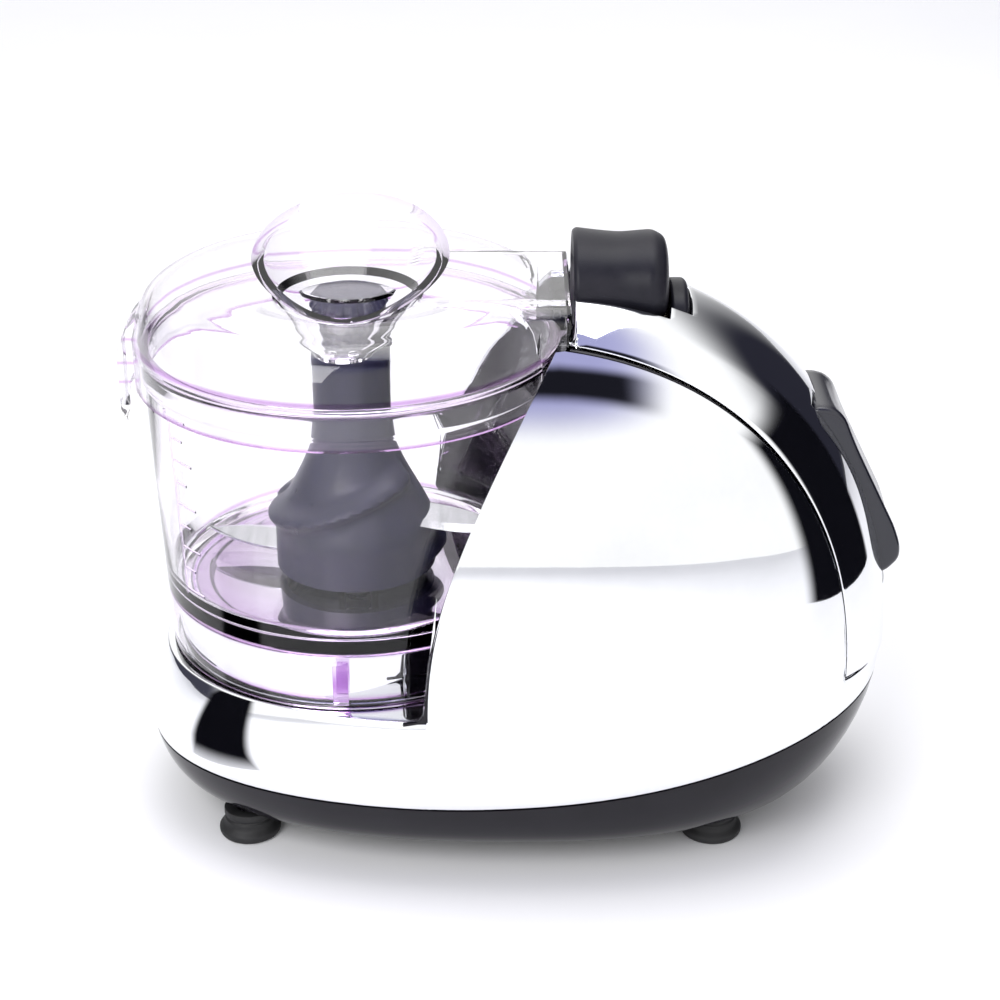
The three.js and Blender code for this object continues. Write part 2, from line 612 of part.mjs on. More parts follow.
function pulsePaddle() {
  const skin = plateAlongX([...PADDLE_BACK, ...PADDLE_FRONT], -PADDLE_HALF_WIDTH, PADDLE_HALF_WIDTH);
  const knuckle = rodAlongX(PIN_R + 2.2, -PADDLE_HALF_WIDTH, PADDLE_HALF_WIDTH, PIVOT_Y, PIVOT_Z)
    .add(block([-PADDLE_HALF_WIDTH, PADDLE_HALF_WIDTH], [PIVOT_Y, PADDLE_Y], [PIVOT_Z - 2, PIVOT_Z + 2]));
  const nub = block([-2, 2], [PADDLE_Y + 10, PADDLE_Y + 16], [SWITCH_Z - 3, SWITCH_Z + 3]);
  return joined(skin, knuckle, nub).subtract(rodAlongX(PIN_R + 0.05, -60, 60, PIVOT_Y, PIVOT_Z));
}

function paddleSlot() {
  const half = PADDLE_HALF_WIDTH + CLEAR;
  const bottom = PIVOT_Z - PADDLE_DROP - PADDLE_SWEEP;
  const outline = [
    [PADDLE_Y - 6, PIVOT_Z + 8], [PADDLE_Y + 40, PIVOT_Z + 8], [PADDLE_Y + 40, bottom],
    [PADDLE_Y - 6, bottom],
  ];
  return plateAlongX(outline, -half, half);
}

function paddlePin() {
  const reach = PADDLE_HALF_WIDTH + CLEAR + 2.6;
  return rodAlongX(PIN_R, -reach, reach, PIVOT_Y, PIVOT_Z);
}

// A yoke inside the band carries the pivot pin and the return spring.
function paddleYoke() {
  const x0 = PADDLE_HALF_WIDTH + CLEAR + 0.2;
  const cheek = (side) => {
    const x = side > 0 ? [x0, x0 + 2.6] : [-x0 - 2.6, -x0];
    return block(x, [PIVOT_Y - 7.4, PIVOT_Y + 3.5], [PIVOT_Z - 22, PIVOT_Z + 4]);
  };
  const back = block([-x0 - 2.6, x0 + 2.6], [PIVOT_Y - 7.4, PIVOT_Y - 5], [PIVOT_Z - 22, PIVOT_Z + 4]);
  return joined(cheek(1), cheek(-1), back)
    .intersect(envelope(HOUSING_WALL + GAP))
    .subtract(rodAlongX(PIN_R + GAP, -60, 60, PIVOT_Y, PIVOT_Z));
}

// ---- Release button ----
function switchBracket() {
  const post = block([-9, 9], [PADDLE_Y - 11, PADDLE_Y - 9], [PLATE_Z + PLATE_THICKNESS + GAP, SWITCH_Z + 6]);
  const arm = block([-9, 9], [PADDLE_Y - 9.5, PADDLE_Y + 4], [SWITCH_Z - 7.6, SWITCH_Z - 5.4]);
  return post.add(arm);
}

function releaseButton() {
  const head = ovalAlongY(BUTTON_R, BUTTON_HALF_WIDTH, BUTTON_Y, BUTTON_Y + BUTTON_LENGTH, BUTTON_Z, 24);
  const stem = block([-2.5, 2.5], [BUTTON_Y + 0.5, BUTTON_Y + 4.5], [BUTTON_Z - 16, BUTTON_Z - 4]);
  return head.add(stem);
}

function buttonGuide() {
  const z0 = BUTTON_Z - BUTTON_TRAVEL - buttonReach - 4;
  const y = [BUTTON_Y - 3, BUTTON_Y + 8];
  const deck = block([-20, 20], y, [z0, z0 + 2.4]);
  const upright = (side) => block(side > 0 ? [17.6, 20] : [-20, -17.6], y, [z0, HOUSING_TOP]);
  return joined(deck, upright(1), upright(-1))
    .intersect(envelope(HOUSING_WALL + GAP))
    .subtract(block([-3.2, 3.2], [BUTTON_Y - 0.2, BUTTON_Y + 5.2], [z0 - 5, z0 + 10]));
}

// ---- Bowl ----
const bowlR = (z) => BOWL_FOOT_R + ((BOWL_RIM_R - BOWL_FOOT_R) * (z - SHELF_Z)) / (BOWL_TOP_Z - SHELF_Z);

function bowlShell() {
  const z0 = SHELF_Z + GAP;
  const floor = BOWL_FLOOR_Z - BOWL_FLOOR;
  const tube = SPINDLE_R + CLEAR;
  const cup = turnedRing([
    [tube, floor], [bowlR(floor) - BOWL_WALL, floor], [bowlR(z0) - BOWL_WALL, z0], [bowlR(z0), z0],
    [bowlR(BOWL_TOP_Z), BOWL_TOP_Z], [bowlR(BOWL_TOP_Z) - BOWL_WALL, BOWL_TOP_Z],
    [bowlR(BOWL_FLOOR_Z + 6) - BOWL_WALL, BOWL_FLOOR_Z + 6],
    [bowlR(BOWL_FLOOR_Z) - BOWL_WALL - 5, BOWL_FLOOR_Z], [TUBE_R, BOWL_FLOOR_Z],
    [TUBE_R, TUBE_TOP_Z], [tube, TUBE_TOP_Z],
  ], 0, 0, 48);
  const lug = block([BOWL_FOOT_R - 2.5, BOWL_FOOT_R + 1.2], [-2, 2], [z0 + 0.5, z0 + 17]);
  return cup.add(lug);
}

// ---- Blade ----
function bladeHub() {
  const bore = TUBE_R + CLEAR;
  const socket = COUPLING_HALF + GAP;
  const outerProfile = [
    [0, HUB_BOTTOM_Z], [HUB_SKIRT_R, HUB_BOTTOM_Z], [HUB_SKIRT_R, HUB_BOTTOM_Z + 14],
    [HUB_SKIRT_R - 2.5, HUB_BOTTOM_Z + 21], [HUB_R + 4.5, HUB_BOTTOM_Z + 30],
    [HUB_R + 1, HUB_BOTTOM_Z + 37], [HUB_R - 0.6, HUB_BOTTOM_Z + 45], [HUB_R - 0.6, COLLAR_Z],
    [0, COLLAR_Z],
  ];
  const body = turned(outerProfile, 0, 0, 32);
  const neck = rod(HUB_R - 3.2, COLLAR_Z - 1, HUB_TOP_Z - 3);
  const socketTop = COUPLING_Z + COUPLING_HEIGHT + 1;
  return body.add(neck)
    .subtract(rod(bore, 0, COUPLING_Z))
    .subtract(block([-socket, socket], [-socket, socket], [COUPLING_Z - 3, socketTop]))
    .subtract(turned([
      [0, HUB_BOTTOM_Z - 2], [HUB_SKIRT_R - 2.2, HUB_BOTTOM_Z - 2], [HUB_SKIRT_R - 2.2, HUB_BOTTOM_Z + 12],
      [bore, HUB_BOTTOM_Z + 24], [0, HUB_BOTTOM_Z + 24],
    ], 0, 0, 32))
    .subtract(bladeSlot(BLADE_LEVELS.lower, BLADE_TURN + 180))
    .subtract(bladeSlot(BLADE_LEVELS.upper, BLADE_TURN));
}

function hubGripCap() {
  const [z0, z1] = [COLLAR_Z + GAP, HUB_TOP_Z];
  const outline = [];
  const flutes = 14;
  for (let i = 0; i < flutes * 4; i += 1) {
    const a = (i / (flutes * 4)) * 2 * Math.PI;
    const r = HUB_R - (i % 4 < 2 ? 0 : 0.8);
    outline.push([r * Math.cos(a), r * Math.sin(a)]);
  }
  return plateUp(outline, z0, z1).subtract(rod(HUB_R - 3.2 + GAP, z0 - 2, HUB_TOP_Z - 3 + GAP));
}

const BLADE_ROOT_X = HUB_SKIRT_R - 5;
const BLADE_THICKNESS = 1.2;
const BLADE_TURN = 78; // where the upper blade rests, from +X towards +Y
const BLADE_LEVELS = { lower: HUB_BOTTOM_Z + 3, upper: HUB_BOTTOM_Z + 16 };

// A slot through the hub's wall for the root of a blade at height z.
function bladeSlot(z, turn) {
  const slot = block([BLADE_ROOT_X - GAP, HUB_SKIRT_R + 4], [-8.5, 8], [z - GAP, z + BLADE_THICKNESS + GAP]);
  return slot.rotate([0, 0, turn]);
}

// One sickle blade: its root is held in the hub and it sweeps back to a point near the bowl's wall.
function blade(z, turn) {
  const reach = BOWL_FOOT_R - BOWL_WALL - 6.5;
  const at = (t) => BLADE_ROOT_X + (reach - BLADE_ROOT_X) * t;
  const outline = [];
  for (let i = 0; i <= 8; i += 1) {
    const t = i / 8;
    outline.push([at(t), 7 - 10 * t * t]);
  }
  for (let i = 8; i >= 0; i -= 1) {
    const t = i / 8;
    outline.push([at(t), -7 - 3 * Math.sin(Math.PI * t) + 2.6 * t]);
  }
  return plateUp(outline, z, z + BLADE_THICKNESS).rotate([0, 0, turn]);
}

// ---- Lid ----
// A slanting cone from the oval rim to the small foot, drawn in by `inset` and run past the rim by `over`.
function funnelCone(inset, over, drop) {
  const cone = new THREE.CylinderGeometry(1, 1, 1, 36, 4).rotateX(Math.PI / 2);
  const place = cone.attributes.position;
  const { rimX, rimY, centreX, centreY, rimRise, tilt, footR, footX, footDrop, taper } = FUNNEL;
  const centreZ = LID_TOP_Z + rimRise;
  const footZ = LID_TOP_Z - footDrop;
  for (let i = 0; i < place.count; i += 1) {
    const t = place.getZ(i) + 0.5;
    const swell = t ** 0.85;
    const [c, s] = [place.getX(i), place.getY(i)];
    const reachX = footR + (rimX - footR) * swell - inset;
    const narrowing = 1 - taper * Math.max(0, c) ** 1.5 * t;
    const reachY = (footR + (rimY - footR) * swell) * narrowing - inset;
    const x = footX + (centreX - footX) * t + reachX * c;
    const slope = -Math.tan(tilt) * reachX * c * t;
    const z = footZ + drop + (centreZ - footZ - drop) * t + slope + over * t;
    place.setXYZ(i, x, centreY * t + reachY * s, z);
  }
  return solid(cone);
}

function dripFunnel() {
  const { wall, footX, footDrop } = FUNNEL;
  const footZ = LID_TOP_Z - footDrop;
  const outside = funnelCone(0, 0, 0).subtract(rod(HUB_ROOM_R, 100, HUB_ROOM_Z, 0, 0, 28));
  const inside = funnelCone(wall, 0.6, wall).subtract(rod(HUB_ROOM_R + wall, 100, HUB_ROOM_Z + wall, 0, 0, 28));
  const hole = (y) => rod(1.9, footZ - 10, footZ + 10, footX + 2, y, 12);
  return outside.subtract(inside).subtract(hole(-3.4)).subtract(hole(3.4));
}

function lidProfile(inset) {
  const r = LID_R - inset;
  const top = LID_TOP_Z - inset;
  return [
    [0, LID_BOTTOM_Z - (inset ? 5 : 0)], [r, LID_BOTTOM_Z - (inset ? 5 : 0)], [r, LID_SHOULDER_Z],
    [r - 1.4, LID_SHOULDER_Z + 6 - inset * 0.3], [r - 4.4, top - 3.8], [r - 9.5, top - 0.9],
    [r - 17, top], [0, top],
  ];
}

function lidBridge(inset) {
  const [half, end, top] = [BRIDGE_HALF - inset, BRIDGE_END - inset, LID_TOP_Z - inset];
  const z0 = LID_BOTTOM_Z - (inset ? 5 : 0);
  const outline = [
    [-half, z0], [half, z0], [half, top - 7], [half - 2, top - 2.6], [half - 8, top], [8 - half, top],
    [2 - half, top - 2.6], [-half, top - 7],
  ];
  const shape = new THREE.Shape(outline.map(([x, z]) => new THREE.Vector2(x, z)));
  const depth = end - 30;
  const bridge = new THREE.ExtrudeGeometry(shape, { depth, bevelEnabled: false });
  return solid(bridge.rotateX(Math.PI / 2).translate(0, end, 0));
}

function thumbTongue() {
  const y0 = -LID_R - TONGUE_REACH;
  const outline = [
    [-LID_R + 5, LID_TOP_Z - 6], [y0 + 4, LID_SHOULDER_Z - 1], [y0, LID_SHOULDER_Z - 6],
    [y0, LID_BOTTOM_Z - TONGUE_DROP + 3], [y0 + 1.6, LID_BOTTOM_Z - TONGUE_DROP], [y0 + 3.4, LID_BOTTOM_Z - TONGUE_DROP + 3],
    [-LID_R + 1, LID_BOTTOM_Z + 1], [-LID_R + 5, LID_SHOULDER_Z],
  ];
  return plateAlongX(outline, -TONGUE_HALF, TONGUE_HALF);
}

function lidShell() {
  const hollow = turned(lidProfile(LID_WALL), 0, 0, 48).add(lidBridge(LID_WALL));
  const stub = block([-6, 6], [BRIDGE_END - 1, STUB_END], [SLEEVE_Z - 7, SLEEVE_Z - 2]);
  const ledgeZ = BOWL_TOP_Z + GAP;
  const ledge = turnedRing([
    [BOWL_RIM_R - 3, ledgeZ], [LID_R - LID_WALL / 2, ledgeZ],
    [LID_R - LID_WALL / 2, ledgeZ + 1.6], [BOWL_RIM_R - 3, ledgeZ + 1.6],
  ], 0, 0, 48);
  const room = funnelCone(-2 * GAP, 0, -GAP)
    .subtract(rod(HUB_ROOM_R - GAP, 100, HUB_ROOM_Z - GAP, 0, 0, 36));
  return turned(lidProfile(0), 0, 0, 48)
    .add(lidBridge(0))
    .add(thumbTongue())
    .subtract(hollow)
    .add(ledge)
    .add(stub)
    .subtract(room);
}

function handleSleeve() {
  const room = block([-6 - GAP, 6 + GAP], [SLEEVE_Y - 5, STUB_END + GAP], [SLEEVE_Z - 7 - GAP, SLEEVE_Z - 2 + GAP]);
  const profile = [
    [0, SLEEVE_Y], [SLEEVE_R - 0.6, SLEEVE_Y], [SLEEVE_R, SLEEVE_Y + 1.4],
    [SLEEVE_R - 1, SLEEVE_Y + SLEEVE_LENGTH * 0.4], [SLEEVE_R - 0.3, SLEEVE_END_Y - 5],
    [SLEEVE_R - 2.5, SLEEVE_END_Y - 1], [SLEEVE_R - 5, SLEEVE_END_Y], [0, SLEEVE_END_Y],
  ].map(([r, y]) => new THREE.Vector2(r, y));
  const lathe = new THREE.LatheGeometry(profile, 28).translate(0, 0, SLEEVE_Z);
  return solid(lathe.scale(SLEEVE_HALF_WIDTH / SLEEVE_R, 1, 1)).subtract(room);
}

// ---- Assembly ----
piece("base_tub", baseTub(), glossBlack);
piece("upper_housing", upperHousing(), chrome);
piece("spine_band", spineBand(), chrome);
piece("band_trim_left", bandTrim(-1), glossBlack);
piece("band_trim_right", bandTrim(1), glossBlack);
piece("recess_liner", recessLiner(), glossBlack);
piece("bowl_turret", bowlTurret(), chrome);
FEET_Y.forEach((y, i) => {
  for (const [x, hand] of [[-FOOT_X, "left"], [FOOT_X, "right"]]) {
    const end = i === 0 ? "front" : "rear";
    piece(`foot_${end}_${hand}`, foot(x, y), rubber);
    piece(`foot_screw_${end}_${hand}`, footScrew(x, y), steel);
  }
});
piece("chassis_plate", chassisPlate(), steel);
piece("motor_can", motorCan(), steel);
piece("motor_end_cap", motorEndCap(), nylon);
piece("motor_bracket", motorBracket(), steel);
piece("lower_bush", bush(TUB_FLOOR_Z - 1, TUB_FLOOR_Z + 2.6), copper);
piece("upper_bush", bush(TURRET_TOP_Z - 6.4, TURRET_TOP_Z - 2 - GAP), copper);
piece("spindle_seal", spindleSeal(), rubber);
piece("cord_gland", cordGland(), rubber);
piece("terminal_block", terminalBlock(), nylon);
piece("suppressor_capacitor", capacitor(), nylon);
piece("drive_belt", driveBelt(), rubber);
piece("spindle_shaft", spindleShaft(), steel);
piece("driven_pulley", grooved(LARGE_PULLEY_R, SPINDLE_R + GAP, 0, 0), nylon);
piece("drive_coupling", driveCoupling(), steel);
piece("motor_shaft", motorShaft(), steel);
piece("motor_pulley", grooved(SMALL_PULLEY_R, ROTOR_R + GAP, 0, MOTOR_Y), nylon);
piece("cooling_fan", coolingFan(), nylon);
piece("pulse_paddle", pulsePaddle(), softBlack);
piece("paddle_pin", paddlePin(), steel);
piece("paddle_yoke", paddleYoke(), nylon);
const springZ = PIVOT_Z - 16;
const returnCoil = coil(3.4, 0.5, 5, 9).rotateX(-Math.PI / 2).translate(0, PIVOT_Y - 4, springZ);
piece("paddle_spring", solid(returnCoil), steel);
piece("switch_bracket", switchBracket(), steel);
piece("pulse_switch", microswitch(0, PADDLE_Y + 2, SWITCH_Z), glossBlack);
piece("interlock_switch", microswitch(0, RECESS_R + 4, BUTTON_Z - 26), glossBlack);
piece("button_guide", buttonGuide(), nylon);
piece("button_spring", solid(coil(4.6, 0.5, 3, 6).translate(0, BUTTON_Y + 2.5, BUTTON_Z - 27)), steel);
piece("release_button", releaseButton(), softBlack);
piece("bowl_shell", bowlShell(), clear);
piece("blade_hub", bladeHub(), slate);
piece("hub_grip_cap", hubGripCap(), slate);
piece("blade_lower", blade(BLADE_LEVELS.lower, BLADE_TURN + 180), steel);
piece("blade_upper", blade(BLADE_LEVELS.upper, BLADE_TURN), steel);
piece("lid_shell", lidShell(), clear);
piece("drip_funnel", dripFunnel(), clear);
piece("handle_sleeve", handleSleeve(), softBlack);

group.position.y = -(HOUSING_REAR + 3 - LID_R - TONGUE_REACH) / 2;

export default group;
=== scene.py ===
import math

import bpy
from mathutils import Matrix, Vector


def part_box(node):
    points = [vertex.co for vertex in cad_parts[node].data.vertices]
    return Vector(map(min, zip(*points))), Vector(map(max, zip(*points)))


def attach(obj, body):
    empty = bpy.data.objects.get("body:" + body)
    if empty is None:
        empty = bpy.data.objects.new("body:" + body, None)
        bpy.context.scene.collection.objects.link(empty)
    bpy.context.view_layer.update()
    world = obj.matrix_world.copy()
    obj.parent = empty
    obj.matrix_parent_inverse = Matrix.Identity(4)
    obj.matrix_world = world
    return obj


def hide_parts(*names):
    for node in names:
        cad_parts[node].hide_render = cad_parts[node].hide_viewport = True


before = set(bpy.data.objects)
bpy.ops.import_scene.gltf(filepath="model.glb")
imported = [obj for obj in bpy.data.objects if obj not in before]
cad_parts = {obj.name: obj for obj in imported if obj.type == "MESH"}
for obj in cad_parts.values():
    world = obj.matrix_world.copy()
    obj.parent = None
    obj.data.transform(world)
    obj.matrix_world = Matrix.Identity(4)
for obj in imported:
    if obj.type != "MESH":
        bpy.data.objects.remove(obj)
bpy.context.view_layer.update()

# ---- Camera ----
# The eye stands on the machine's right side and a little above it, level with its middle,
# so the bowl is on the left of the view and the paddle on the right.
CAMERA_TARGET = Vector((0, -0.0041, 0.096))
CAMERA_REACH = 0.677
CAMERA_PITCH = math.radians(25)
eye = CAMERA_TARGET + CAMERA_REACH * Vector((math.cos(CAMERA_PITCH), 0, math.sin(CAMERA_PITCH)))
bpy.ops.object.camera_add(location=eye)
camera = bpy.context.active_object
camera.rotation_euler = (CAMERA_TARGET - eye).to_track_quat("-Z", "Y").to_euler()
camera.data.lens = 79.2
camera.data.clip_start = 0.01
bpy.context.scene.camera = camera

# ---- Lower case ----
# The tub that closes the machine underneath, moulded in gloss black ABS. Its wall curves in to
# a flat bottom, and a stepped lip at the top fits inside the plated housing.
MM = 0.001
bowl_low, bowl_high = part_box("bowl_shell")
AXIS_Y = (bowl_low.y + bowl_high.y) / 2
tub_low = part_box("base_tub")[0]
SHELF = bowl_low.z / MM - 0.3
BODY_CENTRE = 50.0
BODY_TOP = 171.0
HALF_WIDTH = 66.0
FRONT_REACH = 109.1
REAR_REACH = 113.0
BODY_BOTTOM = tub_low.z / MM
HIP = 36.0
PLAN_POWER = 2.4
DOME_POWER = 2.2
BOTTOM_ROUND = 18.0
REAR_ROUND = 28.0
REAR_ROUND_Z = 52.0
SPLIT_Z, SPLIT_CLIMB = 27, 22
SPLIT_FRONT, SPLIT_RUN = 20, 143


def spot(x, y, z):
    """A point given in millimetres about the bowl's axis, in the frame's metres."""
    return Vector((x * MM, AXIS_Y + y * MM, z * MM))


def alone(piece):
    """Selects this piece and nothing else."""
    bpy.ops.object.select_all(action="DESELECT")
    piece.select_set(True)
    bpy.context.view_layer.objects.active = piece


def sheet(name, across, along, place):
    """A grid of across by along cells, with every corner moved to place(i, j)."""
    bpy.ops.object.select_all(action="DESELECT")
    bpy.ops.mesh.primitive_grid_add(x_subdivisions=across, y_subdivisions=along, size=1)
    piece = bpy.context.active_object
    piece.name = name
    piece.data.name = name
    for corner in piece.data.vertices:
        i = round((corner.co.x + 0.5) * across)
        j = round((corner.co.y + 0.5) * along)
        corner.co = spot(*place(i, j))
    return piece


def knit(piece, gap=0.02):
    """Merges corners that meet, and turns every face outwards."""
    alone(piece)
    bpy.ops.object.mode_set(mode="EDIT")
    bpy.ops.mesh.select_all(action="SELECT")
    bpy.ops.mesh.remove_doubles(threshold=gap * MM)
    bpy.ops.mesh.normals_make_consistent(inside=False)
    bpy.ops.object.mode_set(mode="OBJECT")


def change(piece, kind, **settings):
    """Adds one modifier with these settings and applies it."""
    modifier = piece.modifiers.new(kind.title(), kind)
    for setting, value in settings.items():
        setattr(modifier, setting, value)
    alone(piece)
    bpy.ops.object.modifier_apply(modifier=modifier.name)


def smooth(piece, degrees=32):
    """Smooth shading, with edges sharper than this left crisp."""
    alone(piece)
    bpy.ops.object.shade_smooth_by_angle(angle=math.radians(degrees))


def join(name, *pieces):
    """Joins pieces into the first one."""
    bpy.ops.object.select_all(action="DESELECT")
    for piece in pieces:
        piece.select_set(True)
    bpy.context.view_layer.objects.active = pieces[0]
    bpy.ops.object.join()
    pieces[0].name = name
    return pieces[0]


def arch(share, power):
    """Height of a rounded arch of height 1 at this share of its half span."""
    return max(0.0, 1 - max(0.0, share) ** power) ** (1 / power)


def reach(z):
    """Half width, front reach and rear reach of the body's plan outline at height z."""
    if z >= SHELF:
        share = arch((z - SHELF) / (BODY_TOP - SHELF), DOME_POWER)
        return HALF_WIDTH * share, FRONT_REACH * share, REAR_REACH * share
    bulge = 1 - max(0.0, (z - HIP) / (SHELF - HIP)) ** 1.6
    drop = min(1.0, max(0.0, (HIP - z) / (HIP - BODY_BOTTOM)))
    inset = BOTTOM_ROUND * (1 - arch(drop, DOME_POWER))
    tuck = min(1.0, max(0.0, (REAR_ROUND_Z - z) / (REAR_ROUND_Z - BODY_BOTTOM)))
    rear = REAR_REACH - REAR_ROUND * (1 - arch(tuck, 1.6))
    return HALF_WIDTH + 3 * bulge - inset, FRONT_REACH + 6.5 * bulge - inset, rear


def outline(turn, z, inset=0.0):
    """The point of the body's plan outline at height z in the direction turn."""
    side, front, rear = reach(z)
    c, s = math.cos(turn), math.sin(turn)
    x = (side - inset) * math.copysign(abs(c) ** (2 / PLAN_POWER), c)
    along = (front if s < 0 else rear) - inset
    return x, BODY_CENTRE + along * math.copysign(abs(s) ** (2 / PLAN_POWER), s)


def split(y):
    """Height of the parting line between tub and housing, which climbs to the rear."""
    return SPLIT_Z + SPLIT_CLIMB * min(1.0, max(0.0, (y - SPLIT_FRONT) / SPLIT_RUN)) ** 2


def effect(name, takes, gives):
    """An empty shader node group with these inputs and outputs."""
    group = bpy.data.node_groups.new(name, "ShaderNodeTree")
    for label, kind, default in takes:
        socket = group.interface.new_socket(label, in_out="INPUT", socket_type=kind)
        if default is not None:
            socket.default_value = default
    for label, kind in gives:
        group.interface.new_socket(label, in_out="OUTPUT", socket_type=kind)
    return group, group.nodes.new("NodeGroupInput"), group.nodes.new("NodeGroupOutput")


def node(tree, kind, operation=None, **values):
    """A new shader node of this kind, with these values on the inputs that they name."""
    made = tree.nodes.new("ShaderNode" + kind)
    if operation:
        made.operation = operation
    for label, value in values.items():
        made.inputs[label.replace("_", " ")].default_value = value
    return made


def wire(tree, *links):
    """Joins each node's output to an input of another node."""
    for source, output, target, entry in links:
        tree.links.new(source.outputs[output], target.inputs[entry])


wear, wear_in, wear_out = effect(
    "moulded_surface",
    [("Place", "NodeSocketVector", None), ("Cloud", "NodeSocketFloat", 30.0),
     ("Grain", "NodeSocketFloat", 900.0), ("Relief", "NodeSocketFloat", 0.1)],
    [("Smudge", "NodeSocketFloat"), ("Normal", "NodeSocketVector")],
)
cloud = node(wear, "TexNoise", Detail=5, Roughness=0.62)
grain = node(wear, "TexNoise", Detail=3)
relief = node(wear, "Bump", Distance=0.0004)
wire(wear,
     (wear_in, "Place", cloud, "Vector"), (wear_in, "Cloud", cloud, "Scale"),
     (wear_in, "Place", grain, "Vector"), (wear_in, "Grain", grain, "Scale"),
     (grain, "Fac", relief, "Height"), (wear_in, "Relief", relief, "Strength"),
     (cloud, "Fac", wear_out, "Smudge"), (relief, "Normal", wear_out, "Normal"))
SMUDGE_LOW, SMUDGE_HIGH = 0.3, 0.7


def finish(name, dark, light, rough, metal=0.0, coat=0.0, cloud_scale=30.0, grain_scale=900.0,
           bump=0.1, stretch=(1, 1, 1), level=0.5):
    """A material whose colour and gloss drift softly, with fine grain in its relief."""
    made = bpy.data.materials.new(name)
    made.use_nodes = True
    tree = made.node_tree
    shader = tree.nodes["Principled BSDF"]
    shader.inputs["Metallic"].default_value = metal
    shader.inputs["Coat Weight"].default_value = coat
    shader.inputs["Coat Roughness"].default_value = 0.03
    shader.inputs["Specular IOR Level"].default_value = level
    where = node(tree, "TexCoord")
    fit = node(tree, "Mapping", Scale=stretch)
    surface = tree.nodes.new("ShaderNodeGroup")
    surface.node_tree = wear
    surface.inputs["Cloud"].default_value = cloud_scale
    surface.inputs["Grain"].default_value = grain_scale
    surface.inputs["Relief"].default_value = bump
    shade = node(tree, "ValToRGB")
    for stop, at, colour in zip(shade.color_ramp.elements, (SMUDGE_LOW, SMUDGE_HIGH), (dark, light)):
        stop.position = at
        stop.color = (*colour, 1)
    gloss = node(tree, "MapRange", From_Min=SMUDGE_LOW, From_Max=SMUDGE_HIGH, To_Min=rough[0],
                 To_Max=rough[1])
    wire(tree,
         (where, "Object", fit, "Vector"), (fit, "Vector", surface, "Place"),
         (surface, "Smudge", shade, "Fac"), (surface, "Smudge", gloss, "Value"),
         (shade, "Color", shader, "Base Color"), (gloss, "Result", shader, "Roughness"),
         (surface, "Normal", shader, "Normal"))
    return made


def dress(piece, material, degrees=None):
    """Gives the piece its material, and smooth shading below this many degrees."""
    if degrees:
        smooth(piece, degrees)
    piece.data.materials.clear()
    piece.data.materials.append(material)


gloss_black = finish("gloss_black", (0.004, 0.003, 0.006), (0.009, 0.008, 0.012), (0.07, 0.16),
                     cloud_scale=45, bump=0.02, level=0.28)

TURNS = 160
TUB_ROWS = 14


def tub_place(i, j):
    turn = 2 * math.pi * j / TURNS
    y_here = outline(turn, HIP)[1]
    top = split(y_here) - 0.35
    if i <= 3:
        share = (0, 0.5, 0.8, 1)[i]
        x, y = outline(turn, BODY_BOTTOM)
        return x * share, BODY_CENTRE + (y - BODY_CENTRE) * share, BODY_BOTTOM
    if i <= TUB_ROWS:
        climb = (i - 3) / (TUB_ROWS - 3)
        z = BODY_BOTTOM + (top - BODY_BOTTOM) * climb ** 1.7
        return (*outline(turn, z), z)
    step = i - TUB_ROWS
    z = top + (0, 3)[step - 1]
    return (*outline(turn, min(z, top), 2.9), z)


tub = sheet("gloss_tub", TUB_ROWS + 2, TURNS, tub_place)
knit(tub)
change(tub, "SOLIDIFY", thickness=2.2 * MM, offset=-1)
dress(tub, gloss_black, 40)
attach(tub, "base")
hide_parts("base_tub")

# ---- Feet ----
# Four rubber feet pushed into bosses of the tub: a wide sole with a rounded edge under a
# ribbed neck, and a screw up its middle.
def rounded(profile, radius, steps=4, loop=False):
    """The profile with each of its corners cut round."""
    count = len(profile)
    made = []
    for k, (a, b) in enumerate(profile):
        if not loop and k in (0, count - 1):
            made.append((a, b))
            continue
        here = Vector((a, b))
        before = Vector(profile[(k - 1) % count]) - here
        after = Vector(profile[(k + 1) % count]) - here
        cut = min(radius, 0.45 * before.length, 0.45 * after.length)
        start = here + before.normalized() * cut
        end = here + after.normalized() * cut
        for n in range(steps + 1):
            t = n / steps
            point = start * (1 - t) ** 2 + here * 2 * t * (1 - t) + end * t * t
            made.append((point.x, point.y))
    if loop:
        made.append(made[0])
    return made


def turned(name, profile, centre=(0, 0), turns=96, wobble=None):
    """A piece turned about an upright axis from radii and heights, which wobble may change."""
    def place(i, j):
        angle = 2 * math.pi * j / turns
        r, z = profile[i]
        if wobble:
            r, z = wobble(i, r, z, angle)
        return centre[0] + r * math.cos(angle), centre[1] + r * math.sin(angle), z
    piece = sheet(name, len(profile) - 1, turns, place)
    knit(piece)
    return piece


rubber = finish("foot_rubber", (0.006, 0.006, 0.007), (0.018, 0.018, 0.019), (0.5, 0.75),
                cloud_scale=90, grain_scale=2600, bump=0.35)
for place_name in ("front_left", "front_right", "rear_left", "rear_right"):
    low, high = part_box("foot_" + place_name)
    middle = ((low.x + high.x) / 2 / MM, ((low.y + high.y) / 2 - AXIS_Y) / MM)
    sole = (high.x - low.x) / 2 / MM
    profile = [(3.9, 0.9), (4.6, 0), (sole - 0.5, 0), (sole, 1.0), (sole, 2.3), (sole - 1.5, 3.6),
               (7.7, 4.5), (7.7, 5.6), (7.2, 5.9), (7.2, 6.5), (7.7, 6.8), (7.7, 9), (3.9, 9)]
    sole_piece = turned("foot_pad_" + place_name, rounded(profile, 0.5, 3, loop=True), middle, 64)
    dress(sole_piece, rubber, 32)
    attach(sole_piece, "base")
    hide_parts("foot_" + place_name)

